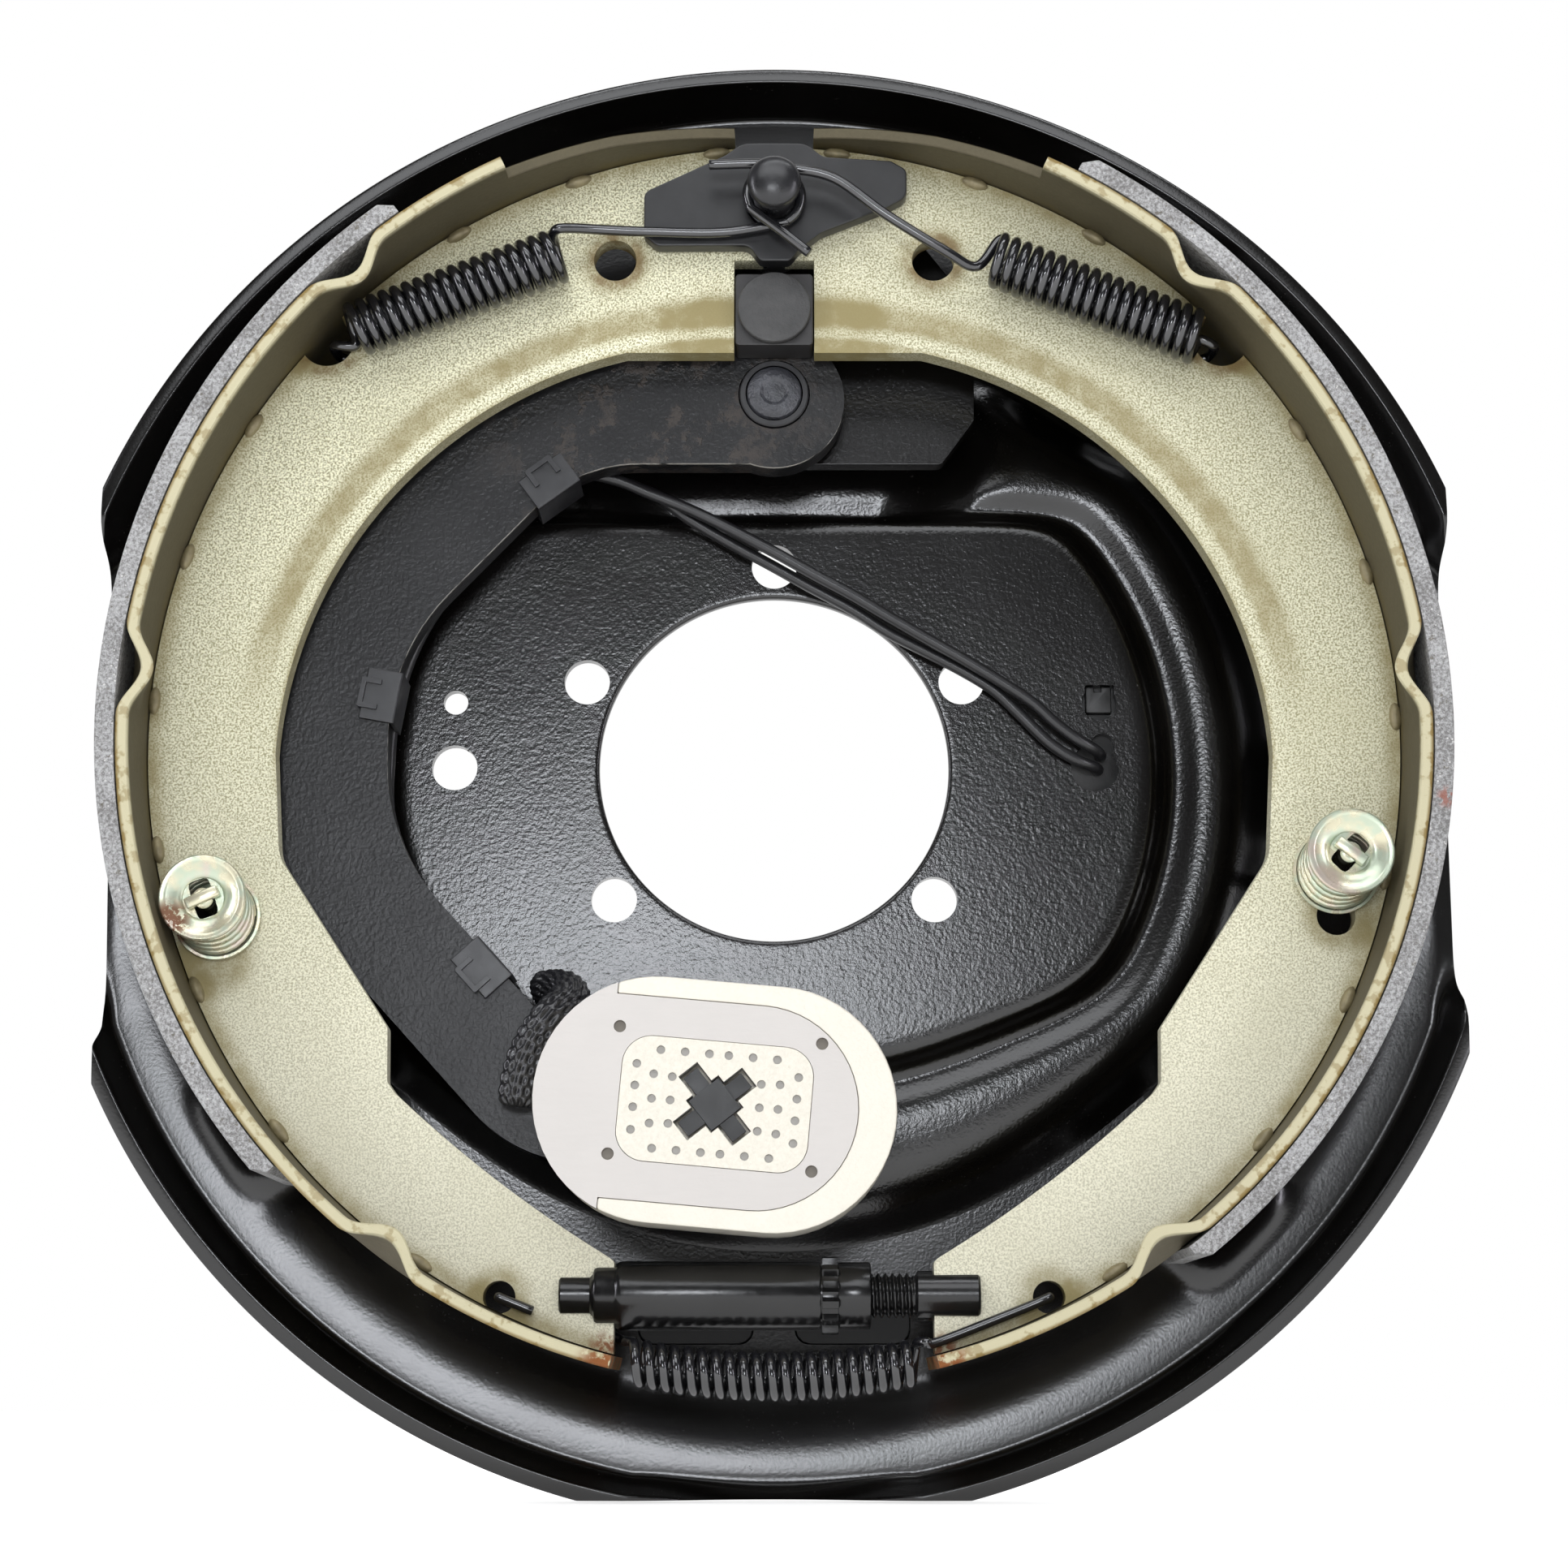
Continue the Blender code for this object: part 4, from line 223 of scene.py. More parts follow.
sky = Surround(world.node_tree)
kind = sky.tree.nodes.new("ShaderNodeLightPath")
seen = Value(sky, kind.outputs["Is Camera Ray"]).math("MAXIMUM", Value(sky, kind.outputs["Is Transmission Ray"]))
glossy = Value(sky, kind.outputs["Is Glossy Ray"])
way = sky.node("SeparateXYZ", {}, {0: sky.node("TexCoord", {}, {}, "Generated")}, "Y")
mirrored_level = 0.06 + 0.94 * way.ramp(-0.1, 0.35)
level = seen + (1 - seen) * (glossy * mirrored_level + (1 - glossy) * 0.60)
backdrop = sky.tree.nodes["Background"]
backdrop.inputs["Color"].default_value = (1, 1, 1, 1)
sky.feed(backdrop.inputs["Strength"], level)


# Backing plate
# One steel pressing with a raised face for the axle flange, a bead round it, a deep channel with
# six ledges that the shoes slide on, and a turned-up rim sheared off flat on three sides.
# It is painted black after pressing, so the paint has a fine orange peel.
SHEET = 3.2
FLOOR, APRON, LEDGE = -14.0, -10.5, -1.1
RIM, SIDE_FLAT, BOTTOM_FLAT = 175.4, 161.5, 169.5


def build(name, rings, closed=False, caps=True, smooth=35):
    """A mesh from a grid of rings, in metres. Each ring is a closed loop; the row of rings may close too."""
    rows, count = rings.shape[:2]
    near = np.arange(rows if closed else rows - 1)[:, None] * count
    far = (near + count) % (rows * count)
    here = np.arange(count)[None, :]
    there = (here + 1) % count
    quads = np.stack([near + here, near + there, far + there, far + here], axis=-1).reshape(-1, 4)
    faces = quads.tolist()
    if caps and not closed:
        faces.append(list(range(count))[::-1])
        faces.append(list(range((rows - 1) * count, rows * count)))
    mesh = bpy.data.meshes.new(name)
    mesh.from_pydata(rings.reshape(-1, 3).tolist(), [], faces)
    return outward(name, mesh, smooth)


def outward(name, mesh, smooth=35):
    """An object for a mesh, with its faces turned outwards and its round faces smooth."""
    shape = bmesh.new()
    shape.from_mesh(mesh)
    bmesh.ops.remove_doubles(shape, verts=shape.verts, dist=1e-7)
    bmesh.ops.recalc_face_normals(shape, faces=shape.faces)
    shape.to_mesh(mesh)
    shape.free()
    piece = bpy.data.objects.new(name, mesh)
    bpy.context.collection.objects.link(piece)
    return shade(piece, smooth)


def shade(piece, angle):
    """Shade a piece smooth, but for the edges where its faces meet at more than an angle in degrees."""
    piece.data.shade_smooth()
    piece.data.set_sharp_from_angle(angle=math.radians(angle))
    return piece


def settle(piece):
    """Turn a piece's modifiers into its mesh."""
    graph = bpy.context.evaluated_depsgraph_get()
    mesh = bpy.data.meshes.new_from_object(piece.evaluated_get(graph), depsgraph=graph)
    piece.modifiers.clear()
    piece.data = mesh
    return piece


def gather(piece, *others):
    """Add the meshes of other bodies to a piece's own, and clear the others away."""
    whole = bmesh.new()
    whole.from_mesh(piece.data)
    for other in others:
        whole.from_mesh(other.data)
        bpy.data.objects.remove(other, do_unlink=True)
    whole.to_mesh(piece.data)
    whole.free()
    return piece


def combine(piece, tool, operation="UNION"):
    """Join a piece with an overlapping body, or cut or trim it by one. The other body is used up."""
    step = piece.modifiers.new("step", "BOOLEAN")
    step.operation = operation
    step.object = tool
    step.solver = "EXACT"
    settle(piece)
    bpy.data.objects.remove(tool, do_unlink=True)
    return piece


def carve(piece, *cutters):
    """Cut bodies out of a piece. The cutters stay apart from each other, so they work as one."""
    return shade(combine(piece, gather(*cutters), "DIFFERENCE"), 35)


def dress(piece, finish, body, *nodes):
    """Give a piece its finish and its body, and let it stand for its CAD nodes."""
    piece.data.materials.clear()
    piece.data.materials.append(finish.material)
    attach(piece, body)
    if nodes:
        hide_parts(*nodes)
    return piece


def soften(loops, passes=2):
    """Cut the corners of closed loops: each point becomes two, a quarter of the way to its neighbours."""
    for _ in range(passes):
        after = np.roll(loops, -1, axis=-2)
        cut = np.stack([0.75 * loops + 0.25 * after, 0.25 * loops + 0.75 * after], axis=-2)
        loops = cut.reshape(*loops.shape[:-2], -1, loops.shape[-1])
    return loops


def circle(x, y, radius, count=40, start=0.0):
    """Points round a circle on the bench."""
    turn = start + np.arange(count) * math.tau / count
    return np.stack([x + radius * np.cos(turn), y + radius * np.sin(turn)], axis=-1)


def standing_prism(outline, low, high):
    """Rings that draw a bench outline out from low to high, ready for build()."""
    flat = np.asarray(outline, float)
    rings = [np.column_stack([flat, np.full(len(flat), h)]) for h in (low, high)]
    return stand(np.array(rings))


def column(outline, low=-30, high=12):
    """A body that draws an outline out from low to high, right through the plate if they aren't given."""
    return build("column", standing_prism(outline, low, high))


def drill(x, y, radius, low=-30, high=12, count=40):
    """A round column."""
    return column(circle(x, y, radius, count), low, high)


def box(x0, x1, y0, y1):
    """Corners of an upright rectangle."""
    return [(x0, y0), (x1, y0), (x1, y1), (x0, y1)]


def rounded(corners, radii, closed=True, degrees=6):
    """A polygon or open path with its corners turned to arcs that touch both sides."""
    points = []
    for i, corner in enumerate(corners):
        if not closed and i in (0, len(corners) - 1):
            points.append(tuple(corner))
            continue
        here = Vector(corner)
        back = Vector(corners[i - 1]) - here
        ahead = Vector(corners[(i + 1) % len(corners)]) - here
        half = back.angle(ahead) / 2
        reach = min(radii[i] / math.tan(half), 0.49 * back.length, 0.49 * ahead.length)
        radius = reach * math.tan(half)
        if radius < 1e-4:
            points.append(tuple(corner))
            continue
        centre = here + (back.normalized() + ahead.normalized()).normalized() * math.hypot(reach, radius)
        first = here + back.normalized() * reach - centre
        last = here + ahead.normalized() * reach - centre
        start = math.atan2(first.y, first.x)
        sweep = (math.atan2(last.y, last.x) - start + math.pi) % math.tau - math.pi
        turns = start + np.linspace(0, sweep, max(2, round(abs(math.degrees(sweep)) / degrees)) + 1)
        points += [(centre.x + radius * math.cos(a), centre.y + radius * math.sin(a)) for a in turns]
    return points


def plate_sections(degrees):
    """Section of the pressing along each ray: out along the front, round the rim, back along the rear.

    The face's outline is a smooth polygon: the distance is the p-norm of its straight sides. The
    ledges rise by a smooth step in angle. The rear is the front moved by the sheet's thickness.
    """
    turn = np.radians(degrees)
    total = np.full_like(degrees, 90.0 ** -26)
    for facing, away in ((90, 60), (-69, 74.9), (249, 74.9), (270, 71)):
        lean = np.cos(np.radians(degrees - facing))
        total += np.where(lean > 0.05, (np.maximum(lean, 0.05) / away) ** 26, 0)
    face = total ** (-1 / 26)
    edge = np.minimum(RIM, (SIDE_FLAT + 2.5) / np.maximum(np.abs(np.cos(turn)), 1e-6))
    lowest = (BOTTOM_FLAT + 2.5) / np.maximum(-np.sin(turn), 0.1)
    edge = np.where(np.sin(turn) < -0.1, np.minimum(edge, lowest), edge)
    rim = np.clip(1 - (RIM - edge) / 6.0, 0, 1)
    rim = rim * rim * (3 - 2 * rim)
    share = np.zeros_like(degrees)
    for middle in (55, 0, -45, 125, 180, 214):
        away = np.abs((degrees - middle + 180) % 360 - 180)
        ramp = np.clip((7.4 - away) / 5.0, 0, 1)
        share = np.maximum(share, ramp * ramp * (3 - 2 * ramp))
    ledge = FLOOR + (LEDGE - FLOOR) * share
    low = np.abs((degrees - 90 + 180) % 360 - 180)
    bead = np.clip((low - 20) / 20, 0, 1)
    bead = 0.12 + 0.88 * bead * bead * (3 - 2 * bead)
    crest = FLOOR + (-3.0 - FLOOR) * bead
    groove = np.minimum(-5.0, crest - 1.0)
    shore = ((face + 28) ** 24 + 112.0 ** 24) ** (1 / 24)
    flat = np.zeros_like(degrees)
    front = [(41.9 + flat, flat), (44.0 + flat, flat), (face - 7, flat), (face - 1.5, flat),
             (face + 0.6, flat - 0.8), (face + 2.8, groove + 1.2), (face + 5.2, groove), (face + 7.6, groove + 0.3),
             (face + 12.5, crest), (shore - 8.5, crest - 0.6), (shore, FLOOR + flat), (shore + 2, FLOOR + flat),
             (131.0 + flat, FLOOR + flat), (134.2 + flat, FLOOR + flat), (139.9 + flat, ledge),
             (142.5 + flat, ledge), (147.5 + flat, ledge), (156.5 + flat, APRON - 0.8 + flat),
             (edge - 7.6 - 2.6 * rim, APRON + flat), (edge - 4.6 - 2.6 * rim, APRON + flat),
             (edge - 3.9 * rim - 1.5, APRON + 5.5 * rim), (edge - 3.9 * rim, APRON + 13.9 * rim)]
    front = np.stack([np.stack(pair, axis=-1) for pair in front], axis=1)
    step = np.diff(front, axis=1)
    step /= np.linalg.norm(step, axis=-1, keepdims=True)
    across = np.stack([step[..., 1], -step[..., 0]], axis=-1)
    before = np.concatenate([across[:, :1], across], axis=1)
    after = np.concatenate([across, across[:, -1:]], axis=1)
    dot = np.sum(before * after, axis=-1, keepdims=True)
    thick = np.full((len(degrees), front.shape[1], 1), SHEET)
    thick[:, -2:, 0] += 0.8 * rim[:, None]
    rear = front + thick * (before + after) / np.maximum(1 + dot, 0.75)
    bore = np.stack([np.stack([41.4 + flat, h + flat], -1) for h in (-2.6, -0.6)], axis=1)
    tip = [front[:, -1:] + share * (rear[:, -1:] - front[:, -1:]) + np.stack([0 * rim, 0.45 * rim], -1)[:, None]
           for share in (0.12, 0.90)]
    return soften(np.concatenate([bore, front, *tip, rear[:, ::-1]], axis=1))


def black_paint(name, sheen):
    """Black paint over steel: fine orange peel, cloudy gloss, a little dust and a few bare nicks."""
    finish = Finish(name)
    cloud = finish.noise(0.035, 4)
    dust = finish.noise(0.0006, 2).ramp(0.68, 0.74) * finish.noise(0.02, 3).ramp(0.5, 0.7)
    black = finish.mix(cloud.ramp(0.35, 0.75), (0.0022, 0.0018, 0.0014), (0.0045, 0.0041, 0.0037))
    finish.set(Base_Color=finish.mix(dust * 0.2, black, (0.14, 0.135, 0.13)))
    finish.set(Roughness=sheen + cloud * 0.06 + dust * 0.3, Specular_IOR_Level=0.65)
    calm = 0.4 + finish.reach(0, 0).ramp(0.128, 0.104) * 0.6
    return finish.bump((finish.noise(0.0008, 1) + finish.noise(0.0020, 1) * 0.3) * calm, 0.000052)


PRIMARY_NAIL = (-127.3, -37.4)
SECONDARY_NAIL = (128.8, -27.0)
OUTSIDE = 190
rays = np.arange(0, 360, 0.75)
sections = plate_sections(rays)
turn = np.radians(rays)[:, None]
away, height = sections[..., 0], sections[..., 1]
plate_rings = stand(np.stack([away * np.cos(turn), away * np.sin(turn), height], -1))
backing_plate = build("backing_plate_pressing", plate_rings, closed=True)
cutters = []
for low_x, far in ((SIDE_FLAT, OUTSIDE), (-SIDE_FLAT + 3.2, -OUTSIDE)):
    side_flat = math.copysign(SIDE_FLAT, far)
    cutters.append(column([(low_x, -168.9), (far, -168.9), (far, OUTSIDE), (side_flat, OUTSIDE), (side_flat, 58),
                           (low_x, -62)]))
cutters.append(column(box(-OUTSIDE, OUTSIDE, -OUTSIDE, -BOTTOM_FLAT)))
for angle in (90, 25, 155, -40, 220):
    cutters.append(drill(49.2 * math.cos(math.radians(angle)), 49.2 * math.sin(math.radians(angle)), 5.4))
for x, y, radius in ((-75.8, 0, 5.4), (-75.8, 15.8, 2.9), (*PRIMARY_NAIL, 2.6), (*SECONDARY_NAIL, 2.6)):
    cutters.append(drill(x, y, radius))
for middle in (-18.3, 18.3):
    cutters.append(column(rounded(box(middle - 13.5, middle + 13.5, -134.5, -124.9), [3.4] * 4, degrees=10)))
carve(backing_plate, *cutters)
carve(backing_plate, drill(76.1, 0, 5.7), drill(77.4, 15.8, 4.2))
carve(backing_plate, drill(78.0, 5.4, 2.9), column(rounded(box(74.0, 81.1, 13.3, 20.1), [0.6] * 4)))
dress(backing_plate, black_paint("plate_paint", 0.18), "plate", "backing_plate")


# Rubber plugs
# Two soft black plugs close the adjuster slots from behind. They are moulded rubber, pushed in.
def rubber(name, shade=0.012, rough=0.62):
    """Dull black rubber or plastic with a faint mottle."""
    finish = Finish(name)
    cloud = finish.noise(0.004, 3)
    finish.set(Base_Color=finish.mix(cloud, (shade * 0.7,) * 3, (shade * 1.5,) * 3))
    finish.set(Roughness=rough - 0.1 + cloud * 0.2)
    return finish.bump(finish.noise(0.0009, 2), 0.00003)


plug_rubber = rubber("plug_rubber")
for plug in ("slot_plug_left", "slot_plug_right"):
    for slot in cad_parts[plug].material_slots:
        slot.material = plug_rubber.material


# Anchor bracket
# A thick pressed bridge behind the lever, spot-welded to the plate. It carries the anchor post above
# and the lever's pivot pin below, and it is painted with the plate.
def even(piece):
    """Let the large flat faces set the normals at their edges, so that they shade flat."""
    normals = piece.modifiers.new("normals", "WEIGHTED_NORMAL")
    normals.keep_sharp = True
    normals.weight = 90
    return piece


def round_edges(piece, width, segments=2, angle=50):
    """Break a piece's edges with a small bevel and make the faces smooth up to them."""
    edge = piece.modifiers.new("edge", "BEVEL")
    edge.width = width * 0.001
    edge.segments = segments
    edge.limit_method = "ANGLE"
    edge.angle_limit = math.radians(angle)
    return even(shade(settle(piece), 32))


def plain_prism(name, outline, low, high, cutters=(), bevel=0.5):
    """An outline drawn out from low to high, cut, and with its corners broken by a small bevel."""
    piece = build(name, standing_prism(outline, low, high))
    if cutters:
        carve(piece, *cutters)
    return round_edges(piece, bevel)


def mill_steel(name, dark=(0.010, 0.010, 0.011), light=(0.024, 0.024, 0.026), rough=0.30, grain=0.0012):
    """Blackened steel: a thin oily oxide with smears and fine grain."""
    finish = Finish(name)
    cloud = finish.noise(0.012, 4)
    smear = finish.noise(0.0035, 4, 0.65)
    finish.set(Base_Color=finish.mix((cloud * 0.6 + smear * 0.4).ramp(0.3, 0.75), dark, light))
    finish.set(Specular_IOR_Level=0.52)
    finish.set(Roughness=rough + smear * 0.22)
    return finish.bump(finish.noise(grain, 2), 0.00002)


POST = (0, 129.2)
PIVOT = (0, 86.6)
bracket_outline = rounded([(-38, 72.4), (40, 72.4), (48, 83.4), (48, 112), (28, 138), (-28, 138), (-38, 112)],
                          [3, 2, 2, 5, 6, 6, 5])
bracket = plain_prism("anchor_bridge", bracket_outline, 3.0, 8.0, [drill(*PIVOT, 6.8, -2)], 0.7)
legs = [column(box(*sides), -13.7, 3.4)
        for sides in ((-38, -33, 102, 111.5), (43, 48, 102, 111.5), (-20, 20, 122, 129))]
shade(gather(bracket, *legs), 32)
dress(bracket, black_paint("bridge_paint", 0.22), "plate", "anchor_bracket")


# Anchor post
# A headed steel post riveted through the bracket. The webs seat on its shank and the return springs
# hook round the neck under its domed head.
def turned(name, profile, centre, axis="H", steps=64, closed=True):
    """A body turned about a line through a bench point. The profile is (along, radius) pairs.

    The angle runs round the axis and the profile runs along it; both ends close on the axis.
    """
    pairs = np.array(profile, float)
    turn = np.arange(steps) * math.tau / steps
    along = np.repeat(pairs[:, :1], steps, 1)
    c, s = pairs[:, 1:] * np.cos(turn), pairs[:, 1:] * np.sin(turn)
    if axis == "H":
        points = np.stack([centre[0] + c, centre[1] + s, along], -1)
    else:
        points = np.stack([along, centre[1] + c, centre[2] + s], -1)
    return build(name, stand(points), closed=not closed, smooth=30)


dome = [(45.4 + 2.6 * math.sin(math.radians(a)), 6.2 * math.cos(math.radians(a))) for a in range(0, 88, 6)]
post = turned("anchor_post_turned", [(8.3, 9.0), (19.2, 9.0), (19.6, 8.6), (19.6, 6.3), (32.8, 6.3), (33.4, 4.8),
                                     (43.0, 4.8), (43.2, 5.7), (43.6, 6.1), (45.0, 6.25)] + dome, POST)
dress(post, mill_steel("post_steel", (0.008, 0.008, 0.009), (0.02, 0.02, 0.022), 0.18), "plate", "anchor_post")

# Guide plate
# A black stamping slipped over the anchor post. Its wings lie on the two shoe ends and stop them
# lifting off the ledges.
wings = rounded([(-30.6, 131.8), (-11.5, 141.0), (-7.5, 144.0), (7.5, 144.0), (11.5, 140.6), (27.5, 139.6),
                 (31.2, 137.4), (31.2, 130.4), (26.5, 127.8), (11.0, 121.6), (6.0, 117.6), (3.6, 114.6),
                 (-3.2, 114.6), (-6.0, 118.4), (-27.5, 118.3), (-30.6, 121.0)],
                [2.5, 4, 6, 6, 4, 2, 2, 3, 3, 6, 4, 1.5, 1.5, 3, 2.5, 2])
guide = plain_prism("guide_stamping", wings, 27.9, 32.5, [drill(*POST, 6.6, 24, 36)], 0.55)
guide_steel = mill_steel("guide_steel", (0.007, 0.007, 0.0075), (0.016, 0.016, 0.017), 0.28)
dress(guide, guide_steel, "plate", "guide_plate")

# Lever pivot
# A stepped pin staked over at its front, with a hardened bushing round it that the lever's eye turns
# on. The staking leaves four dents in its face.
pin = turned("pivot_pin_turned", [(-0.8, 8.6), (2.7, 9.4), (2.7, 6.5), (19.2, 6.5), (19.9, 6.2), (20.6, 5.2),
                                  (20.8, 4.6), (20.8, 3.4), (20.3, 2.6), (20.3, 1.0)], PIVOT)
staked = mill_steel("pivot_steel", (0.02, 0.021, 0.025), (0.085, 0.088, 0.10), 0.22)
staked.bump(staked.noise(0.0022, 3, 0.7) + staked.noise(0.0007, 2) * 0.3, 0.0006)
dress(pin, staked, "plate", "lever_pivot_pin")
bushing = turned("pivot_bushing_turned", [(8.3, 6.8), (8.3, 8.2), (18.9, 8.2), (19.2, 7.9), (19.2, 6.8)], PIVOT,
                 closed=False)
dress(bushing, mill_steel("bushing_steel"), "plate", "lever_bushing")


# Lever arm
# A flat forged arm that bends round the hub from the pivot to the magnet. Its top end carries the cam
# block. It is painted black and worn thin and greasy near the pivot; its inner edge is painted pale, part bare
# sheared steel and part painted highlight.
def offset(path, distance):
    """An open path moved sideways: each point goes along its mitred normal by the distance."""
    p = np.array(path, float)
    step = np.diff(p, axis=0)
    step /= np.linalg.norm(step, axis=1, keepdims=True)
    side = np.stack([-step[:, 1], step[:, 0]], -1)
    before = np.vstack([side[:1], side])
    after = np.vstack([side, side[-1:]])
    lean = (before + after) / (1 + np.sum(before * after, axis=1, keepdims=True))
    return p + distance * lean


CAM = (0, 104.1)
MAGNET = (-13, -83.6)
ARM_REAR, ARM_FRONT, ARM_HALF = 10.3, 18.3, 13.0
arm_line = rounded([(0, 82.6), (-51.6, 82.6), (-102.6, 29), (-102.6, -26), (-52.5, -81), MAGNET],
                   [0, 46, 62, 62, 22, 0], closed=False, degrees=4)
strip = np.vstack([offset(arm_line, ARM_HALF), offset(arm_line, -ARM_HALF)[::-1]])
arm = build("lever_arm_forged", standing_prism(strip, ARM_REAR, ARM_FRONT))
for outline in (circle(0, 85.2, 16.6, 64), rounded(box(-8.8, 8.8, 84, 112.7), [0, 0, 3, 3]),
                circle(*MAGNET, 14.2, 48)):
    combine(arm, column(outline, ARM_REAR, ARM_FRONT))
carve(arm, drill(*PIVOT, 8.5, 5, 25, 48), drill(*CAM, 4.8, 5, 25, 32), drill(*MAGNET, 4.3, 5, 25, 32))
round_edges(arm, 0.8)
arm_paint = Finish("arm_paint", Specular_IOR_Level=0.34)
blotch = arm_paint.noise(0.011, 5, 0.7)
worn = arm_paint.reach(-28, 85).ramp(0.052, 0.02) * blotch.ramp(0.50, 0.55)
worn = worn * arm_paint.noise(0.003, 4, 0.7).ramp(0.35, 0.6)
cloud = arm_paint.noise(0.03, 4).ramp(0.3, 0.75)
black = arm_paint.mix(cloud, (0.0065, 0.0065, 0.007), (0.014, 0.014, 0.0145))
black = arm_paint.mix(worn * 0.75, black, (0.045, 0.036, 0.03))
facing = arm_paint.node("NewGeometry", {}, {}, "Normal")
front = arm_paint.node("SeparateXYZ", {}, {0: facing}, "Y")
inward_x = arm_paint.node("SeparateXYZ", {}, {0: facing}, "X") * arm_paint.axis("X")
inward_z = arm_paint.node("SeparateXYZ", {}, {0: facing}, "Z") * (arm_paint.axis("Z") - HUB_HEIGHT)
# Part bare sheared steel, part painted highlight: where the inner edge's bevel turns away from the front, it is
# painted pale.
sheared_edge_highlight = front.ramp(-0.985, -0.92) * arm_paint.axis("Y").ramp(HUB_DEPTH - 0.0172, HUB_DEPTH - 0.0176)
sheared_edge_highlight = sheared_edge_highlight * (inward_x + inward_z).ramp(-0.002, -0.012) * arm_paint.noise(0.006, 3).ramp(0.36, 0.52)
arm_paint.set(Base_Color=arm_paint.mix(sheared_edge_highlight, black, (0.62, 0.59, 0.53)))
arm_paint.set(Roughness=0.27 + worn * 0.15 + blotch * 0.12)
arm_paint.bump(arm_paint.noise(0.0010, 2) + worn * 0.8, 0.00012)
dress(arm, arm_paint, "lever", "lever_arm")

# Cam block
# A hardened steel block that turns on a headed pin at the top of the lever and spreads the shoes.
# It is bare steel, dark with oil, and its pin's head is flat and pitted.
cam = plain_prism("cam_block_ground", rounded(box(-9.1, 9.1, 95.3, 112.9), [1] * 4), 18.6, 28.6,
                  [drill(*CAM, 4.8, 15, 32, 32)], 0.4)
dress(cam, mill_steel("cam_steel", (0.014, 0.013, 0.013), (0.032, 0.030, 0.030), 0.34), "cam", "cam_block")
head = turned("cam_pin_turned", [(9.1, 6.2), (10.0, 6.2), (10.0, 4.5), (28.9, 4.5), (28.9, 8.6), (30.1, 8.6),
                                 (30.4, 8.4), (30.5, 8.0), (30.5, 3.0)], CAM)
pitted = mill_steel("cam_pin_steel", (0.022, 0.022, 0.022), (0.06, 0.059, 0.057), 0.36, 0.0008)
pitted.bump(pitted.noise(0.0008, 3, 0.7), 0.00022)
dress(head, pitted, "lever", "cam_pin")


# Arm clips
# Three folded spring-steel straps grip the arm's inner edge and hold the leads behind it. Each has a
# flat front tab with a raised loop at its end.
def point_on_arm(share):
    """A place on the arm's inner edge, by the share of the arm's length."""
    line = np.array(arm_line)
    run = np.concatenate([[0], np.cumsum(np.linalg.norm(np.diff(line, axis=0), axis=1))])
    at = share * run[-1]
    here = np.array([np.interp(at, run, line[:, 0]), np.interp(at, run, line[:, 1])])
    i = min(max(int(np.searchsorted(run, at)), 1), len(line) - 1)
    along = (line[i] - line[i - 1]) / np.linalg.norm(line[i] - line[i - 1])
    return here + np.array([-along[1], along[0]]) * ARM_HALF


def strap(name, share):
    """A folded sheet: its section is a hook round the arm's edge, drawn along the edge."""
    before, after = point_on_arm(share - 0.027), point_on_arm(share + 0.027)
    edge = (before + after) / 2
    along = (after - before) / np.linalg.norm(after - before)
    inward = np.array([-along[1], along[0]])
    strip = np.array([(0.4, 18.6), (-6.8, 18.6), (-7.0, 18.9), (-7.0, 19.4), (-6.8, 19.6), (0.8, 19.6), (1.2, 19.4),
                      (1.4, 19.0), (1.4, 6.2), (1.2, 5.9), (0.8, 5.9), (-9.6, 5.9), (-9.6, 6.9), (0.4, 6.9)])
    ends = np.array([-6.0, -5.7, 5.7, 6.0])
    squeeze = np.array([0.94, 1.0, 1.0, 0.94])
    base = edge[None, None, :] + along[None, None, :] * ends[:, None, None]
    flat = base + inward[None, None, :] * strip[None, :, :1]
    height = 12.75 + (strip[None, :, 1:] - 12.75) * (1 - (1 - squeeze[:, None, None]) * 0.12)
    hook = build(name, stand(np.concatenate([flat, np.broadcast_to(height, (4, len(strip), 1))], -1)), smooth=30)
    for sides in ((-7.6, -3.2, -3.6, -2.4), (-7.6, -3.2, 2.4, 3.6), (-7.9, -6.7, -3.4, 3.4)):
        combine(hook, column([edge + inward * u + along * v for u, v in box(*sides)], 19.3, 20.4))
    return round_edges(hook, 0.22, 2, 40)


clip_steel = mill_steel("clip_steel", (0.010, 0.010, 0.011), (0.026, 0.026, 0.028), 0.24)
for clip, share in (("arm_clip_top", 0.212), ("arm_clip_side", 0.470), ("arm_clip_low", 0.752)):
    dress(strap(clip + "_folded", share), clip_steel, "lever", clip)


# Leads
# Two thin black insulated wires. They run behind the arm from its top clip down to the magnet, and
# from the arm across the face to the hole at the right.
def smooth_path(points, steps=6):
    """A smooth run through points: a cubic between each pair, with slopes from the neighbours."""
    p = np.array(points, float)
    full = np.vstack([2 * p[:1] - p[1:2], p, 2 * p[-1:] - p[-2:-1]])
    t = np.arange(steps)[None, :, None] / steps
    a, b, c, d = full[:-3, None], full[1:-2, None], full[2:-1, None], full[3:, None]
    run = 0.5 * (2 * b + (c - a) * t + (2 * a - 5 * b + 4 * c - d) * t ** 2 + (3 * b - a - 3 * c + d) * t ** 3)
    return np.vstack([run.reshape(-1, 3), p[-1:]])


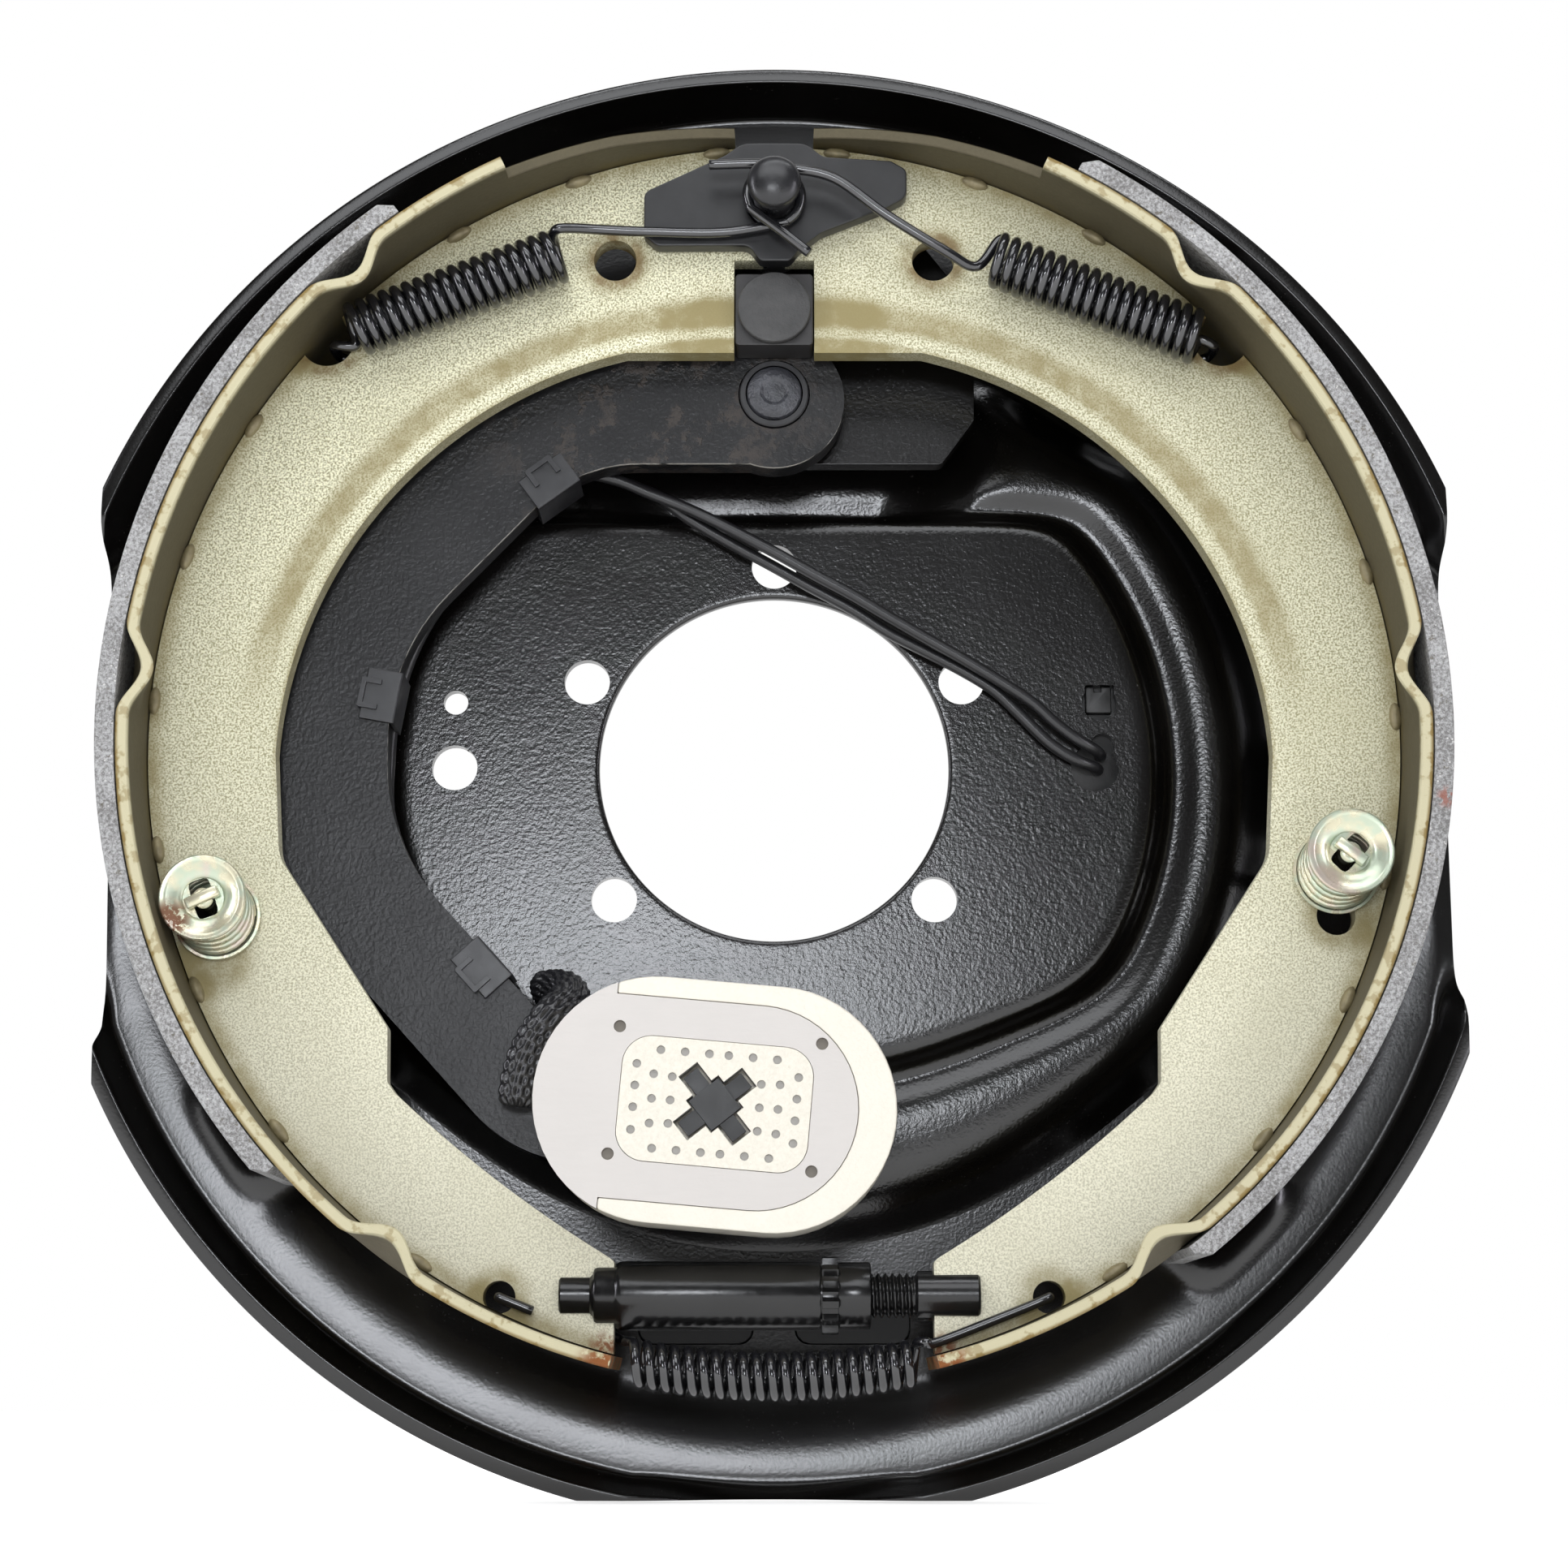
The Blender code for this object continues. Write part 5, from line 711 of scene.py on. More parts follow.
def tube_rings(path, radius, sides=16):
    """Rings round a path. The ring's frame turns with the path as little as it can from ring to ring."""
    p = np.array(path, float)
    along = np.gradient(p, axis=0)
    along /= np.linalg.norm(along, axis=1, keepdims=True)
    side = np.zeros_like(p)
    first = np.cross(along[0], (0.0, 0.0, 1.0))
    if np.linalg.norm(first) < 0.1:
        first = np.cross(along[0], (0.0, 1.0, 0.0))
    side[0] = first / np.linalg.norm(first)
    for i in range(1, len(p)):
        step = side[i - 1] - along[i] * np.dot(side[i - 1], along[i])
        side[i] = step / np.linalg.norm(step)
    up = np.cross(along, side)
    turn = np.arange(sides) * math.tau / sides
    size = np.broadcast_to(np.asarray(radius, float).reshape(-1, 1), (len(p), 1))
    return (p[:, None] + side[:, None] * (size[:, None] * np.cos(turn)[None, :, None])
            + up[:, None] * (size[:, None] * np.sin(turn)[None, :, None]))


def tube(name, path, radius, sides, blunt=0.25):
    """A round bar along a path, with softly rounded cut ends."""
    p = np.array(path, float)
    r = np.full(len(p) + 2, float(radius))
    r[[0, -1]] = radius * (1 - blunt)
    first = p[0] - (p[1] - p[0]) / np.linalg.norm(p[1] - p[0]) * blunt * radius
    last = p[-1] + (p[-1] - p[-2]) / np.linalg.norm(p[-1] - p[-2]) * blunt * radius
    return build(name, stand(tube_rings(np.vstack([first, p, last]), r, sides)), smooth=50)


def stretch(wire, finish, node):
    """Give a wire its finish, let it stand for its CAD node, and bake its place into its mesh."""
    wire.data.materials.append(finish.material)
    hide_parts(node)
    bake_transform(wire)


insulation = Finish("lead_insulation", Base_Color=(0.011, 0.011, 0.012), Roughness=0.34,
                    Specular_IOR_Level=0.55)
insulation.bump(insulation.noise(0.0035, 2), 0.00006)
LEAD_RADIUS = 1.4
LEAD_A = [(-43.2, 69.8, 8.5), (-36.5, 68.0, 8.3), (-30.4, 65.4, 8.2), (-20.1, 61.2, 8.0), (-9.8, 56.0, 8.2),
          (0, 50.6, 8.5), (9.9, 44.9, 8.4), (18.6, 40.2, 8.0), (27.0, 35.2, 7.4), (36.0, 30.0, 6.8),
          (45.4, 24.6, 6.4), (53.6, 19.6, 6.0), (61.2, 14.6, 5.4), (66.6, 9.8, 4.6), (72.0, 6.0, 3.6),
          (75.9, 4.1, 1.7), (77.5, 3.3, -0.8), (77.7, 3.2, -2.4)]
LEAD_B = [(-43.4, 73.4, 8.5), (-38.8, 70.2, 5.4), (-33.0, 67.6, 4.9), (-27.5, 65.2, 4.8), (-20.1, 59.6, 4.8),
          (-10.2, 53.6, 4.8), (-1.5, 48.7, 5.0), (8.3, 43.1, 5.0), (18.7, 37.4, 4.8), (27.0, 32.0, 4.4),
          (36.0, 27.4, 3.8), (45.4, 22.4, 3.4), (52.6, 17.8, 3.2), (58.1, 12.4, 3.2), (65.1, 5.4, 3.0),
          (71.0, 1.7, 2.4), (75.2, 0.3, 0.6), (76.8, -0.1, -1.4), (77.0, -0.2, -2.4)]
for name, route, node in (("lead_a_across", LEAD_A, "lead_wire_a"), ("lead_b_across", LEAD_B, "lead_wire_b")):
    wire = tube(name, smooth_path(route, 5), LEAD_RADIUS, 14)
    stretch(wire, insulation, node)

# Behind the arm the leads lie side by side from the top clip to the bottom one.
for name, inset in (("arm_lead_a", 3.6), ("arm_lead_b", 7.2)):
    run = offset(arm_line, ARM_HALF - inset)
    share, known = np.linspace(0, 1, 160), np.linspace(0, 1, len(run))
    dense = np.array([np.interp(share, known, run[:, k]) for k in (0, 1)]).T
    first = int(np.argmax(dense[:, 0] < -46))
    last = int(np.argmax(dense[:, 1] < -62))
    flat = dense[first:last]
    drift = np.sin(np.linspace(0, math.pi, len(flat))) ** 2
    if inset < 5:
        centre_out = flat / np.linalg.norm(flat, axis=1, keepdims=True)
        flat = flat - centre_out * (3.4 * drift)[:, None]
    path3 = np.column_stack([flat, np.full(len(flat), 8.6)])
    dress(tube(name + "_run", path3, LEAD_RADIUS, 14), insulation, "lever", name)


# Magnet sleeve
# A braided sleeve over both leads where they go round to the magnet, so that they don't chafe.
def braid(name, path, radius, starts=13):
    """A tube whose radius swells where two sets of helical strands cross over and under each other."""
    p = np.array(path, float)
    run = np.concatenate([[0], np.cumsum(np.linalg.norm(np.diff(p, axis=0), axis=1))])
    fine = np.linspace(0, run[-1], int(run[-1] / 0.26) + 1)
    line = np.stack([np.interp(fine, run, p[:, k]) for k in range(3)], -1)
    sides = 130
    base = tube_rings(line, np.ones(len(line)), sides)
    turn = np.arange(sides)[None, :] * math.tau / sides
    twist = fine[:, None] * math.tau * 400 / 1000 / starts / 2
    left = np.cos(starts * (turn + twist))
    right = np.cos(starts * (turn - twist))
    over = 0.5 + 0.5 * np.sign(np.sin(starts * turn) * np.sin(starts * twist))
    relief = np.where(over > 0.5, left, right) * 0.5 + np.maximum(left, right) * 0.5
    ends = np.clip(np.minimum(fine, run[-1] - fine) / 2.0, 0, 1) ** 0.5
    size = (radius - 0.45 + 0.45 * relief) * (0.55 + 0.45 * ends[:, None])
    points = line[:, None] + (base - line[:, None]) * size[:, :, None]
    return build(name, stand(points), smooth=60)


bow = np.array([-25.95, -82.47])
hug = [(bow[0] + 32.0 * math.cos(math.radians(a)), bow[1] + 32.0 * math.sin(math.radians(a)), h)
       for a, h in ((140, 23.4), (150, 23.7), (160, 23.8), (170, 23.6), (180, 23.2))]
sleeve_path = smooth_path([(-55.6, -54.2, 4.9), (-51.5, -53.4, 6.8), (-47.6, -54.6, 11.5),
                           (-46.6, -57.6, 17.5)] + hug, 8)
sleeve = braid("sleeve_braided", sleeve_path, 4.5)
sleeve_cloth = Finish("sleeve_braid", Base_Color=(0.014, 0.014, 0.016), Roughness=0.26,
                      Specular_IOR_Level=0.7)
sleeve_cloth.bump(sleeve_cloth.noise(0.0005, 2), 0.00002)
dress(sleeve, sleeve_cloth, "lever", "magnet_sleeve")


# Magnet
# A drawn steel cup with a coil sealed inside. Its friction face is a grey moulded pad set flush in the
# cup, and the pitted inner pole stands in the middle with a cross-shaped hole for the retainer.
TILT = math.radians(-5)


def at_magnet(points):
    """Points given along and across the magnet, turned to its tilt and moved to its middle."""
    p = np.array(points, float)
    c, s = math.cos(TILT), math.sin(TILT)
    return np.stack([MAGNET[0] + c * p[:, 0] - s * p[:, 1], MAGNET[1] + s * p[:, 0] + c * p[:, 1]], -1)


def diagonal(points):
    """Flat points turned by 47 degrees clockwise, as the retainer lies in the magnet."""
    p = np.array(points, float)
    t = math.radians(-47)
    return np.stack([math.cos(t) * p[:, 0] - math.sin(t) * p[:, 1],
                     math.sin(t) * p[:, 0] + math.cos(t) * p[:, 1]], -1)


def bulge(right, half):
    """A half-round end that reaches out to the right."""
    turn = np.radians(np.linspace(-90, 90, 28))
    return np.stack([right - half + half * np.cos(turn), half * np.sin(turn)], -1)


def grooved(inset=0.0):
    """Outline of the friction pad: open to the cup's edge at the left, walled on the other sides."""
    half, right, brk = 27 - 4.6 - inset, 40 - 8.5 - inset, -40 + 16.5 - inset
    left = [(brk, half), (brk, 31), (-44, 31), (-44, -31), (brk, -31), (brk, -half)]
    return np.vstack([bulge(right, half), left])


def cross(reach, half, middle):
    """A cross of four arms with stepped inner corners, lying at 45 degrees."""
    corner = np.array([(reach, -half), (reach, half), (middle, half), (middle, middle), (half, middle)])
    c, s = np.cos(np.pi / 2 * np.arange(4)), np.sin(np.pi / 2 * np.arange(4))
    whole = np.stack([c[:, None] * corner[:, 0] - s[:, None] * corner[:, 1],
                      s[:, None] * corner[:, 0] + c[:, None] * corner[:, 1]], -1).reshape(-1, 2)
    return diagonal(whole)


core_edge = rounded([(21, -13.7), (21, 13.7), (-21, 13.7), (-21, -13.7)], [6.5] * 4)
core_gap = rounded([(21.1, -13.8), (21.1, 13.8), (-21.1, 13.8), (-21.1, -13.8)], [6.6] * 4)
cup_edge = at_magnet(np.vstack([bulge(40, 27), -bulge(40, 27)]))
shell = column(cup_edge, 24, 44)
carve(shell, column(at_magnet(grooved()), 38, 46))
carve(shell, drill(*MAGNET, 4.3, 20, 40, 32))
round_edges(shell, 0.5, 2, 60)
cup_steel = Finish("magnet_cup", Metallic=0.35)
grain = cup_steel.noise(0.0011, 3, 0.7)
cloud = cup_steel.noise(0.014, 4)
cup_steel.set(Base_Color=cup_steel.mix(grain * 0.6 + cloud * 0.4, (0.59, 0.555, 0.465), (0.775, 0.74, 0.655)))
cup_steel.set(Roughness=0.36 + grain * 0.2)
cup_steel.bump(grain, 0.00008)
shell.name = "magnet_shell_drawn"
dress(shell, cup_steel, "magnet", "magnet_shell")

pad = combine(column(cup_edge, 38.3, 43.85), column(at_magnet(grooved(0.06)), 36, 46), "INTERSECT")
dots = at_magnet([(-22.3, 15.2), (22.3, 15.2), (-22.3, -12.8), (22.3, -12.8)])
carve(pad, column(at_magnet(core_gap), 36, 46), *[drill(x, y, 1.35, 42.4, 46, 20) for x, y in dots])
round_edges(pad, 0.10, 2, 60)
pad_stuff = Finish("magnet_pad")
along = pad_stuff.node("Mapping", {}, {0: pad_stuff.place, "Scale": (0.25, 1, 1.6)})
streak = pad_stuff.noise(0.0016, 4, 0.7, along)
patch = pad_stuff.noise(0.012, 4)
rub = pad_stuff.noise(0.0006, 2)
# Painted shade: where the pad sinks below its face, in its dots and round the pole, it is painted dark brown.
recess_shade = pad_stuff.axis("Y").ramp(HUB_DEPTH - 0.0437, HUB_DEPTH - 0.0430)
pad_grey = pad_stuff.mix(streak * 0.5 + patch * 0.5, (0.53, 0.505, 0.475), (0.60, 0.57, 0.535))
pad_stuff.set(Base_Color=pad_stuff.mix(recess_shade, pad_grey, (0.26, 0.235, 0.20)))
pad_stuff.set(Roughness=0.5 + rub * 0.15)
pad_stuff.bump(streak + rub * 0.4, 0.00004)
pad.name = "magnet_pad_moulded"
dress(pad, pad_stuff, "magnet", "magnet_face")

pits = []
for side in (-1, 1):
    for across in (-0.66, -0.2, 0.24, 0.68):
        pits.append((side * 17.8, across * 10.8))
    for along in (0.72, 0.42, 0.12):
        pits += [(side * along * 17.8, 10.8), (side * along * 17.8, -10.8)]
    for across in (-0.5, 0.0, 0.5):
        pits += [(side * 17.8 * 0.78, across * 10.8), (side * 17.8 * 0.55, across * 10.26)]
core = column(at_magnet(core_edge), 38.3, 44)
carve(core, column(at_magnet(cross(9.6, 2.6, 4.5)), 36, 46),
      *[drill(x, y, 0.95, 43.2, 46, 12) for x, y in at_magnet(pits)])
round_edges(core, 0.18, 1, 60)
pole = Finish("magnet_pole", Metallic=0.35)
speck = pole.noise(0.0009, 3, 0.75)
# Painted shade: the pole's pits and cross-shaped hole are painted dark below its face.
recess_shade = pole.axis("Y").ramp(HUB_DEPTH - 0.0439, HUB_DEPTH - 0.0434)
metal = pole.mix(speck, (0.57, 0.53, 0.44), (0.79, 0.76, 0.67))
pole.set(Base_Color=pole.mix(recess_shade * 0.8, metal, (0.30, 0.29, 0.28)))
pole.set(Roughness=0.38 + speck * 0.2)
pole.bump(speck, 0.0001)
core.name = "magnet_core_sintered"
dress(core, pole, "magnet", "magnet_core")

# Magnet retainer
# A steel pin through the arm holds the magnet, and a black plastic cross snaps over its end in the
# hole of the inner pole.
shank = turned("magnet_pin_turned", [(9.3, 5.4), (10.0, 5.8), (10.0, 4.0), (40.8, 4.0)], MAGNET, steps=40)
dress(shank, mill_steel("magnet_pin_steel"), "lever", "magnet_post")
snap = column(at_magnet(cross(8.8, 1.9, 3.0)), 41.1, 42.0)
combine(snap, column(at_magnet(diagonal(box(-4.1, 4.1, -4.1, 4.1))), 41.2, 43.1))
round_edges(snap, 0.25, 2, 50)
snap.name = "retainer_moulded"
dress(snap, rubber("retainer_plastic", 0.011, 0.4), "lever", "magnet_retainer")


# Magnet spring
# A light cone spring between the arm and the magnet keeps the magnet against the drum.
turns = np.linspace(0, 3, 91)
cone_path = np.stack([MAGNET[0] + (7 + 2 * turns) * np.cos(math.tau * turns),
                      MAGNET[1] + (7 + 2 * turns) * np.sin(math.tau * turns),
                      19.4 + (22.9 - 19.4) * turns / 3], -1)
cone = tube("magnet_spring_wound", cone_path, 0.8, 10)
spring_steel = mill_steel("spring_steel", (0.008, 0.008, 0.009), (0.018, 0.018, 0.02), 0.2)
cone.data.materials.append(spring_steel.material)
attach(cone, "lever")
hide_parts("magnet_spring")
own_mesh(cone)


# Shoe webs
# Each shoe's web is a flat steel stamping, 6 mm thick, with a seat for the anchor post at its head, a
# notch and a hole for the springs, and a hole for its hold-down. It is plated yellow and the plating
# is thin and mottled: greenish gold, with brown stains along its edges and round its holes.
WEB_OUTER = 143.2
SHOE_Y = 1.5


def arc_through(a, b, c, steps):
    """Points on the circle through three points, from the first to the last by way of the second."""
    (ax, ay), (bx, by), (cx, cy) = a, b, c
    d = 2 * (ax * (by - cy) + bx * (cy - ay) + cx * (ay - by))
    aa, bb, cc = ax * ax + ay * ay, bx * bx + by * by, cx * cx + cy * cy
    ux = (aa * (by - cy) + bb * (cy - ay) + cc * (ay - by)) / d
    uy = (aa * (cx - bx) + bb * (ax - cx) + cc * (bx - ax)) / d
    r = math.hypot(ax - ux, ay - uy)
    t0, t1, t2 = (math.atan2(y - uy, x - ux) for x, y in (a, b, c))
    sweep = (t2 - t0) % math.tau
    if (t1 - t0) % math.tau > sweep:
        sweep -= math.tau
    turn = t0 + sweep * np.linspace(0, 1, steps)
    return [(ux + r * math.cos(t), uy + r * math.sin(t)) for t in turn]


def web_edge():
    """Outline of the right-hand web, from its head down its inner edge and back up its outer edge."""
    toe, heel = -math.acos(35.4 / WEB_OUTER), math.acos(2.6 / WEB_OUTER)
    lean = math.acos(2.6 / 6.6)
    edge = [(2.6, 116.5), (9.4, 116.5), (9.4, 93.7)]
    edge += arc_through((34.6, 93.7), (93.8, 54.6), (114.0, -2.0), 60)
    edge += rounded([(114.0, -2.0), (112.5, -26), (86.9, -65), (86.7, -77.2), (85, -79.6)],
                    [0, 9, 1.5, 1.2, 0], closed=False, degrees=8)[1:-1]
    edge += arc_through((85.0, -79.6), (60.0, -100.4), (38.0, -115.2), 24)
    edge += [(36.4, -116.2), (35.7, -116.8), (35.4, -117.4)]
    turn = np.linspace(toe, heel, 260)
    edge += list(zip(WEB_OUTER * np.cos(turn), SHOE_Y + WEB_OUTER * np.sin(turn)))
    turn = np.linspace(lean, -lean, 26)
    edge += list(zip(6.6 * np.cos(turn), POST[1] + 6.6 * np.sin(turn)))
    return np.array(edge, float)


WEB_REAR, WEB_FRONT = 21.6, 27.6
INNER_ARC = (10.6, -7.0, 103.5)
NOTCH_TURN = math.radians(42.3)
NOTCH = (141.8 * math.cos(NOTCH_TURN), SHOE_Y + 141.8 * math.sin(NOTCH_TURN))
TOE_HOLE = (60.8, -124.8)


def web(name, side, nail):
    """The web's outline drawn out 6 mm, with its holes, and its sheared edges slightly rounded."""
    body = column(web_edge() * (side, 1), WEB_REAR, WEB_FRONT)
    holes = [(side * 37.5, 116.5, 5.0, 36), (side * NOTCH[0], NOTCH[1], 6.4, 36),
             (side * TOE_HOLE[0], TOE_HOLE[1], 3.6, 28), (*nail, 5.2, 32)]
    carve(body, *[drill(x, y, radius, 15, 35, count) for x, y, radius, count in holes])
    if side > 0:
        carve(body, drill(nail[0] - 1.6, nail[1] - 12.6, 4.4, 15, 35, 32))
    body.name = name
    return round_edges(body, 0.55)


def zinc(name, side, nail):
    """Yellow plating over a rough stamping: bright specks, brown halos at edges, holes and welds."""
    finish = Finish(name, Metallic=0.15)
    fine = finish.noise(0.00048, 2, 0.7)
    blot = finish.noise(0.006, 4, 0.6)
    wide = finish.noise(0.03, 3)
    across = finish.axis("X")
    up = finish.axis("Z") - (HUB_HEIGHT + SHOE_Y * 0.001)
    out = (across * across + up * up) ** 0.5
    speck = fine.ramp(0.36, 0.60)
    pale = (0.72, 0.70, 0.52)
    # Painted light: on the primary web the upper part is painted paler, lifting the shadow that the table casts
    # there.
    if side < 0:
        pale = finish.mix(finish.axis("Z").ramp(0.17, 0.25) * 0.9, pale, (0.88, 0.86, 0.64))
    base = finish.mix(speck, (0.27, 0.25, 0.125), pale)
    base = finish.mix(wide.ramp(0.45, 0.75) * 0.3, base, (0.47, 0.44, 0.27))
    low = finish.axis("Z").ramp(0.19, 0.06)
    base = finish.mix(low * 0.4, base, (0.72, 0.695, 0.595))
    halo = out.ramp(0.1365, 0.1432) * 0.75
    for x, y, r in ((side * 37.5, 116.5, 5.0), (side * NOTCH[0], NOTCH[1], 6.4),
                    (side * TOE_HOLE[0], TOE_HOLE[1], 3.6), (nail[0] - side * 1.6, nail[1] - 12.6, 4.4)):
        halo = halo + finish.reach(x, y).ramp((r + 6.5) * 0.001, (r + 0.5) * 0.001) * 0.7
    halo = halo + finish.reach(side * 12, 98).ramp(0.020, 0.008) * 0.45
    turn_x, turn_y, turn_r = INNER_ARC
    inner = finish.reach(side * turn_x, turn_y)
    band = inner.ramp((turn_r + 2.0) * 0.001, (turn_r + 5.0) * 0.001)
    band = band * inner.ramp((turn_r + 13.0) * 0.001, (turn_r + 8.0) * 0.001)
    edging = inner.ramp((turn_r + 1.6) * 0.001, turn_r * 0.001) * finish.axis("Z").ramp(0.15, 0.17)
    halo = halo + band * finish.axis("Z").ramp(0.165, 0.205) * 0.75 + edging * 0.6
    halo = halo * (0.25 + blot * 1.2)
    stained = finish.mix(halo.ramp(0.0, 1.0), base, (0.26, 0.215, 0.09))
    brown = finish.reach(side * 37.5, 116.5).ramp(0.0085, 0.0055)
    brown = brown + finish.reach(side * NOTCH[0], NOTCH[1]).ramp(0.0105, 0.0068)
    stained = finish.mix(brown.ramp(0.0, 1.0) * blot.ramp(0.35, 0.6) * 0.7, stained, (0.15, 0.085, 0.02))
    rust = finish.reach(side * 37.0, -136.5).ramp(0.0055, 0.0015) * finish.noise(0.002, 4).ramp(0.42, 0.55)
    stained = finish.mix(rust, stained, (0.20, 0.07, 0.02))
    finish.set(Base_Color=stained)
    finish.set(Roughness=0.40 + speck * 0.15 + blot * 0.1)
    finish.bump(fine * 0.7 + finish.noise(0.0022, 2) * 0.3, 0.00014)
    return finish


for word, side, nail in (("primary", -1, PRIMARY_NAIL), ("secondary", 1, SECONDARY_NAIL)):
    plating = zinc(word + "_plating", side, nail)
    dress(web(word + "_web_stamped", side, nail), plating, word + "_shoe", word + "_web")


# Shoe tables
# A curved strip is projection-welded round each web. It is pressed in at three places to make the
# nibs that ride on the plate's ledges, and cut back near the anchor. Welds show on its inside.
TABLE_OUTER, TABLE_INNER = 146.3, 143.5
NIBS = (47.5, 4.6, -54.2)


def table(name, side):
    """The strip's section along its arc: flat across, pressed in at both edges at the nibs."""
    toe, heel = -math.degrees(math.acos(35.4 / TABLE_OUTER)), math.degrees(math.acos(9.4 / TABLE_OUTER))
    grid = np.unique(np.concatenate([np.linspace(toe, heel, 190), [64.46, 64.54, 75.0]]
                                    + [m + 4.3 * np.linspace(-1.05, 1.05, 22) for m in NIBS]))
    dip = np.zeros_like(grid)
    for middle in NIBS:
        away = np.clip(np.abs(grid - middle) / 4.3, 0, 1)
        dip = np.maximum(dip, 4.8 * 0.5 * (1 + np.cos(math.pi * away)))
    near, far = 7.5 + (grid - 64.5) / 10.5 * 3, 10.5 + (grid - 75) / (heel - 75) * 6.5
    back = np.where(grid < 64.5, 0.0, np.where(grid < 75, near, far))
    rear, front = -0.8 + back, 50 - back
    reach = np.minimum(15.0, (front - rear) * 0.3)
    shares = np.array([1.0, 1.0, 0.82, 0.5, 0.2, 0.0, 0.0, 0.2, 0.5, 0.82, 1.0, 1.0])
    where = np.array([0.0, 0.02, 0.25, 0.5, 0.75, 1.0, -1.0, -0.75, -0.5, -0.25, -0.02, 0.0])
    height = np.concatenate([rear[:, None] + reach[:, None] * where[:6],
                             front[:, None] + reach[:, None] * where[6:]], axis=1)
    press = dip[:, None] * shares
    outer = TABLE_OUTER - press
    inner = TABLE_INNER - press
    soft = 0.35
    radius = np.concatenate([outer[:, :1] - soft, outer, outer[:, -1:] - soft,
                             inner[:, -1:] + soft, inner[:, ::-1], inner[:, :1] + soft], 1)
    first, last = height[:, :1], height[:, -1:]
    tall = np.concatenate([first, height, last, last, height[:, ::-1], first], 1)
    tall[:, [1, 26]] += soft
    tall[:, [12, 15]] -= soft
    turn = np.radians(grid)[:, None]
    points = np.stack([side * radius * np.cos(turn), SHOE_Y + radius * np.sin(turn), tall], -1)
    return build(name, stand(points), smooth=28)


def strip_plating(name, side):
    """Duller plating on the strip: grey brown inside, with olive grease near the web and bright edges."""
    finish = Finish(name, Metallic=0.25)
    fine = finish.noise(0.0011, 3, 0.7)
    blot = finish.noise(0.009, 4, 0.6)
    depth = finish.axis("Y")
    near = depth.ramp(HUB_DEPTH - 0.0475, HUB_DEPTH - 0.0497)
    across = finish.axis("X")
    up = finish.axis("Z") - (HUB_HEIGHT + SHOE_Y * 0.001)
    out = (across * across + up * up) ** 0.5
    inside = finish.mix(fine * 0.5 + blot * 0.5, (0.060, 0.050, 0.028), (0.130, 0.112, 0.068))
    joint = depth.ramp(HUB_DEPTH - 0.0335, HUB_DEPTH - 0.0278)
    inside = finish.mix(joint * blot.ramp(0.4, 0.6) * 0.8, inside, (0.11, 0.088, 0.035))
    line = out.ramp(0.1452, 0.1460) * 0.7 + finish.noise(0.003, 3).ramp(0.5, 0.62) * 0.5
    edge = finish.mix(line.ramp(0.0, 1.0), (0.52, 0.48, 0.32), (0.24, 0.17, 0.06))
    colour = finish.mix(near, inside, edge)
    rust = finish.reach(side * 37.0, -140).ramp(0.007, 0.002) * finish.noise(0.002, 4).ramp(0.42, 0.55)
    finish.set(Base_Color=finish.mix(rust, colour, (0.22, 0.075, 0.02)))
    finish.set(Roughness=0.5 + blot * 0.22, Specular_IOR_Level=0.3)
    return finish.bump(fine, 0.00008)


def weld_dome(x, y, turn):
    """A flattened dome of weld metal in the corner between web and strip, twelve faces round."""
    steps = np.arange(12) * math.tau / 12
    levels = np.array([0.0, 0.45, 0.8, 1.0])
    wide = np.sqrt(1 - levels ** 2 * 0.92)
    a = 3.4 * wide[:, None] * np.cos(steps)
    b = 1.5 * wide[:, None] * np.sin(steps)
    c, s = math.cos(turn), math.sin(turn)
    height = np.broadcast_to(27.4 + 1.5 * levels[:, None], a.shape)
    return np.stack([x - s * a + c * b, y + c * a + s * b, height], -1)


WELDS = {"primary": (95.5, 109, 121.5, 148.5, 162.5, 176.5, 190.5, 204, 219, 236.5),
         "secondary": (84, 70.5, 58, 31, 16, 2, -13, -25, -40, -58)}
for word, side in (("primary", -1), ("secondary", 1)):
    metal = strip_plating(word + "_strip_plating", side)
    dress(table(word + "_table_rolled", side), metal, word + "_shoe", word + "_table")
    welds = []
    for degrees in WELDS[word]:
        turn = math.radians(degrees)
        x, y = 142.4 * math.cos(turn), SHOE_Y + 142.4 * math.sin(turn)
        welds.append(build("weld", stand(weld_dome(x, y, turn)), smooth=70))
    gather(*welds).name = word + "_welds"
    bead = Finish(word + "_weld_metal", Metallic=0.2, Roughness=0.42)
    bead.set(Base_Color=bead.mix(bead.noise(0.002, 3), (0.10, 0.08, 0.04), (0.34, 0.29, 0.16)))
    dress(welds[0], bead, word + "_shoe")


# Linings
# Moulded friction linings are glued to the tables: a grey block with pale and dark grains. The front
# lining is short, the rear one long, and both have chamfered ends.
def lining(name, first, last):
    """A block bent along its arc, thinner over its chamfered ends, with slightly broken edges."""
    way = 1 if last > first else -1
    nose = math.degrees(3.0 / 150.9)
    grid = np.concatenate([[first], np.linspace(first + way * nose, last - way * nose, 150), [last]])
    share = np.concatenate([[0.45], np.ones(150), [0.45]])[:, None]
    turn = np.radians(grid)[:, None]
    outer = 146.6 + 4.3 * share
    inner = np.full_like(outer, 146.6)
    radius = np.concatenate([inner, inner, outer - 0.35, outer, outer, outer - 0.35], 1)
    height = np.broadcast_to(np.array([[-0.8, 50.0, 50.0, 49.65, -0.45, -0.8]]), radius.shape)
    points = np.stack([radius * np.cos(turn), SHOE_Y + radius * np.sin(turn), height], -1)
    return build(name, stand(points), smooth=28)


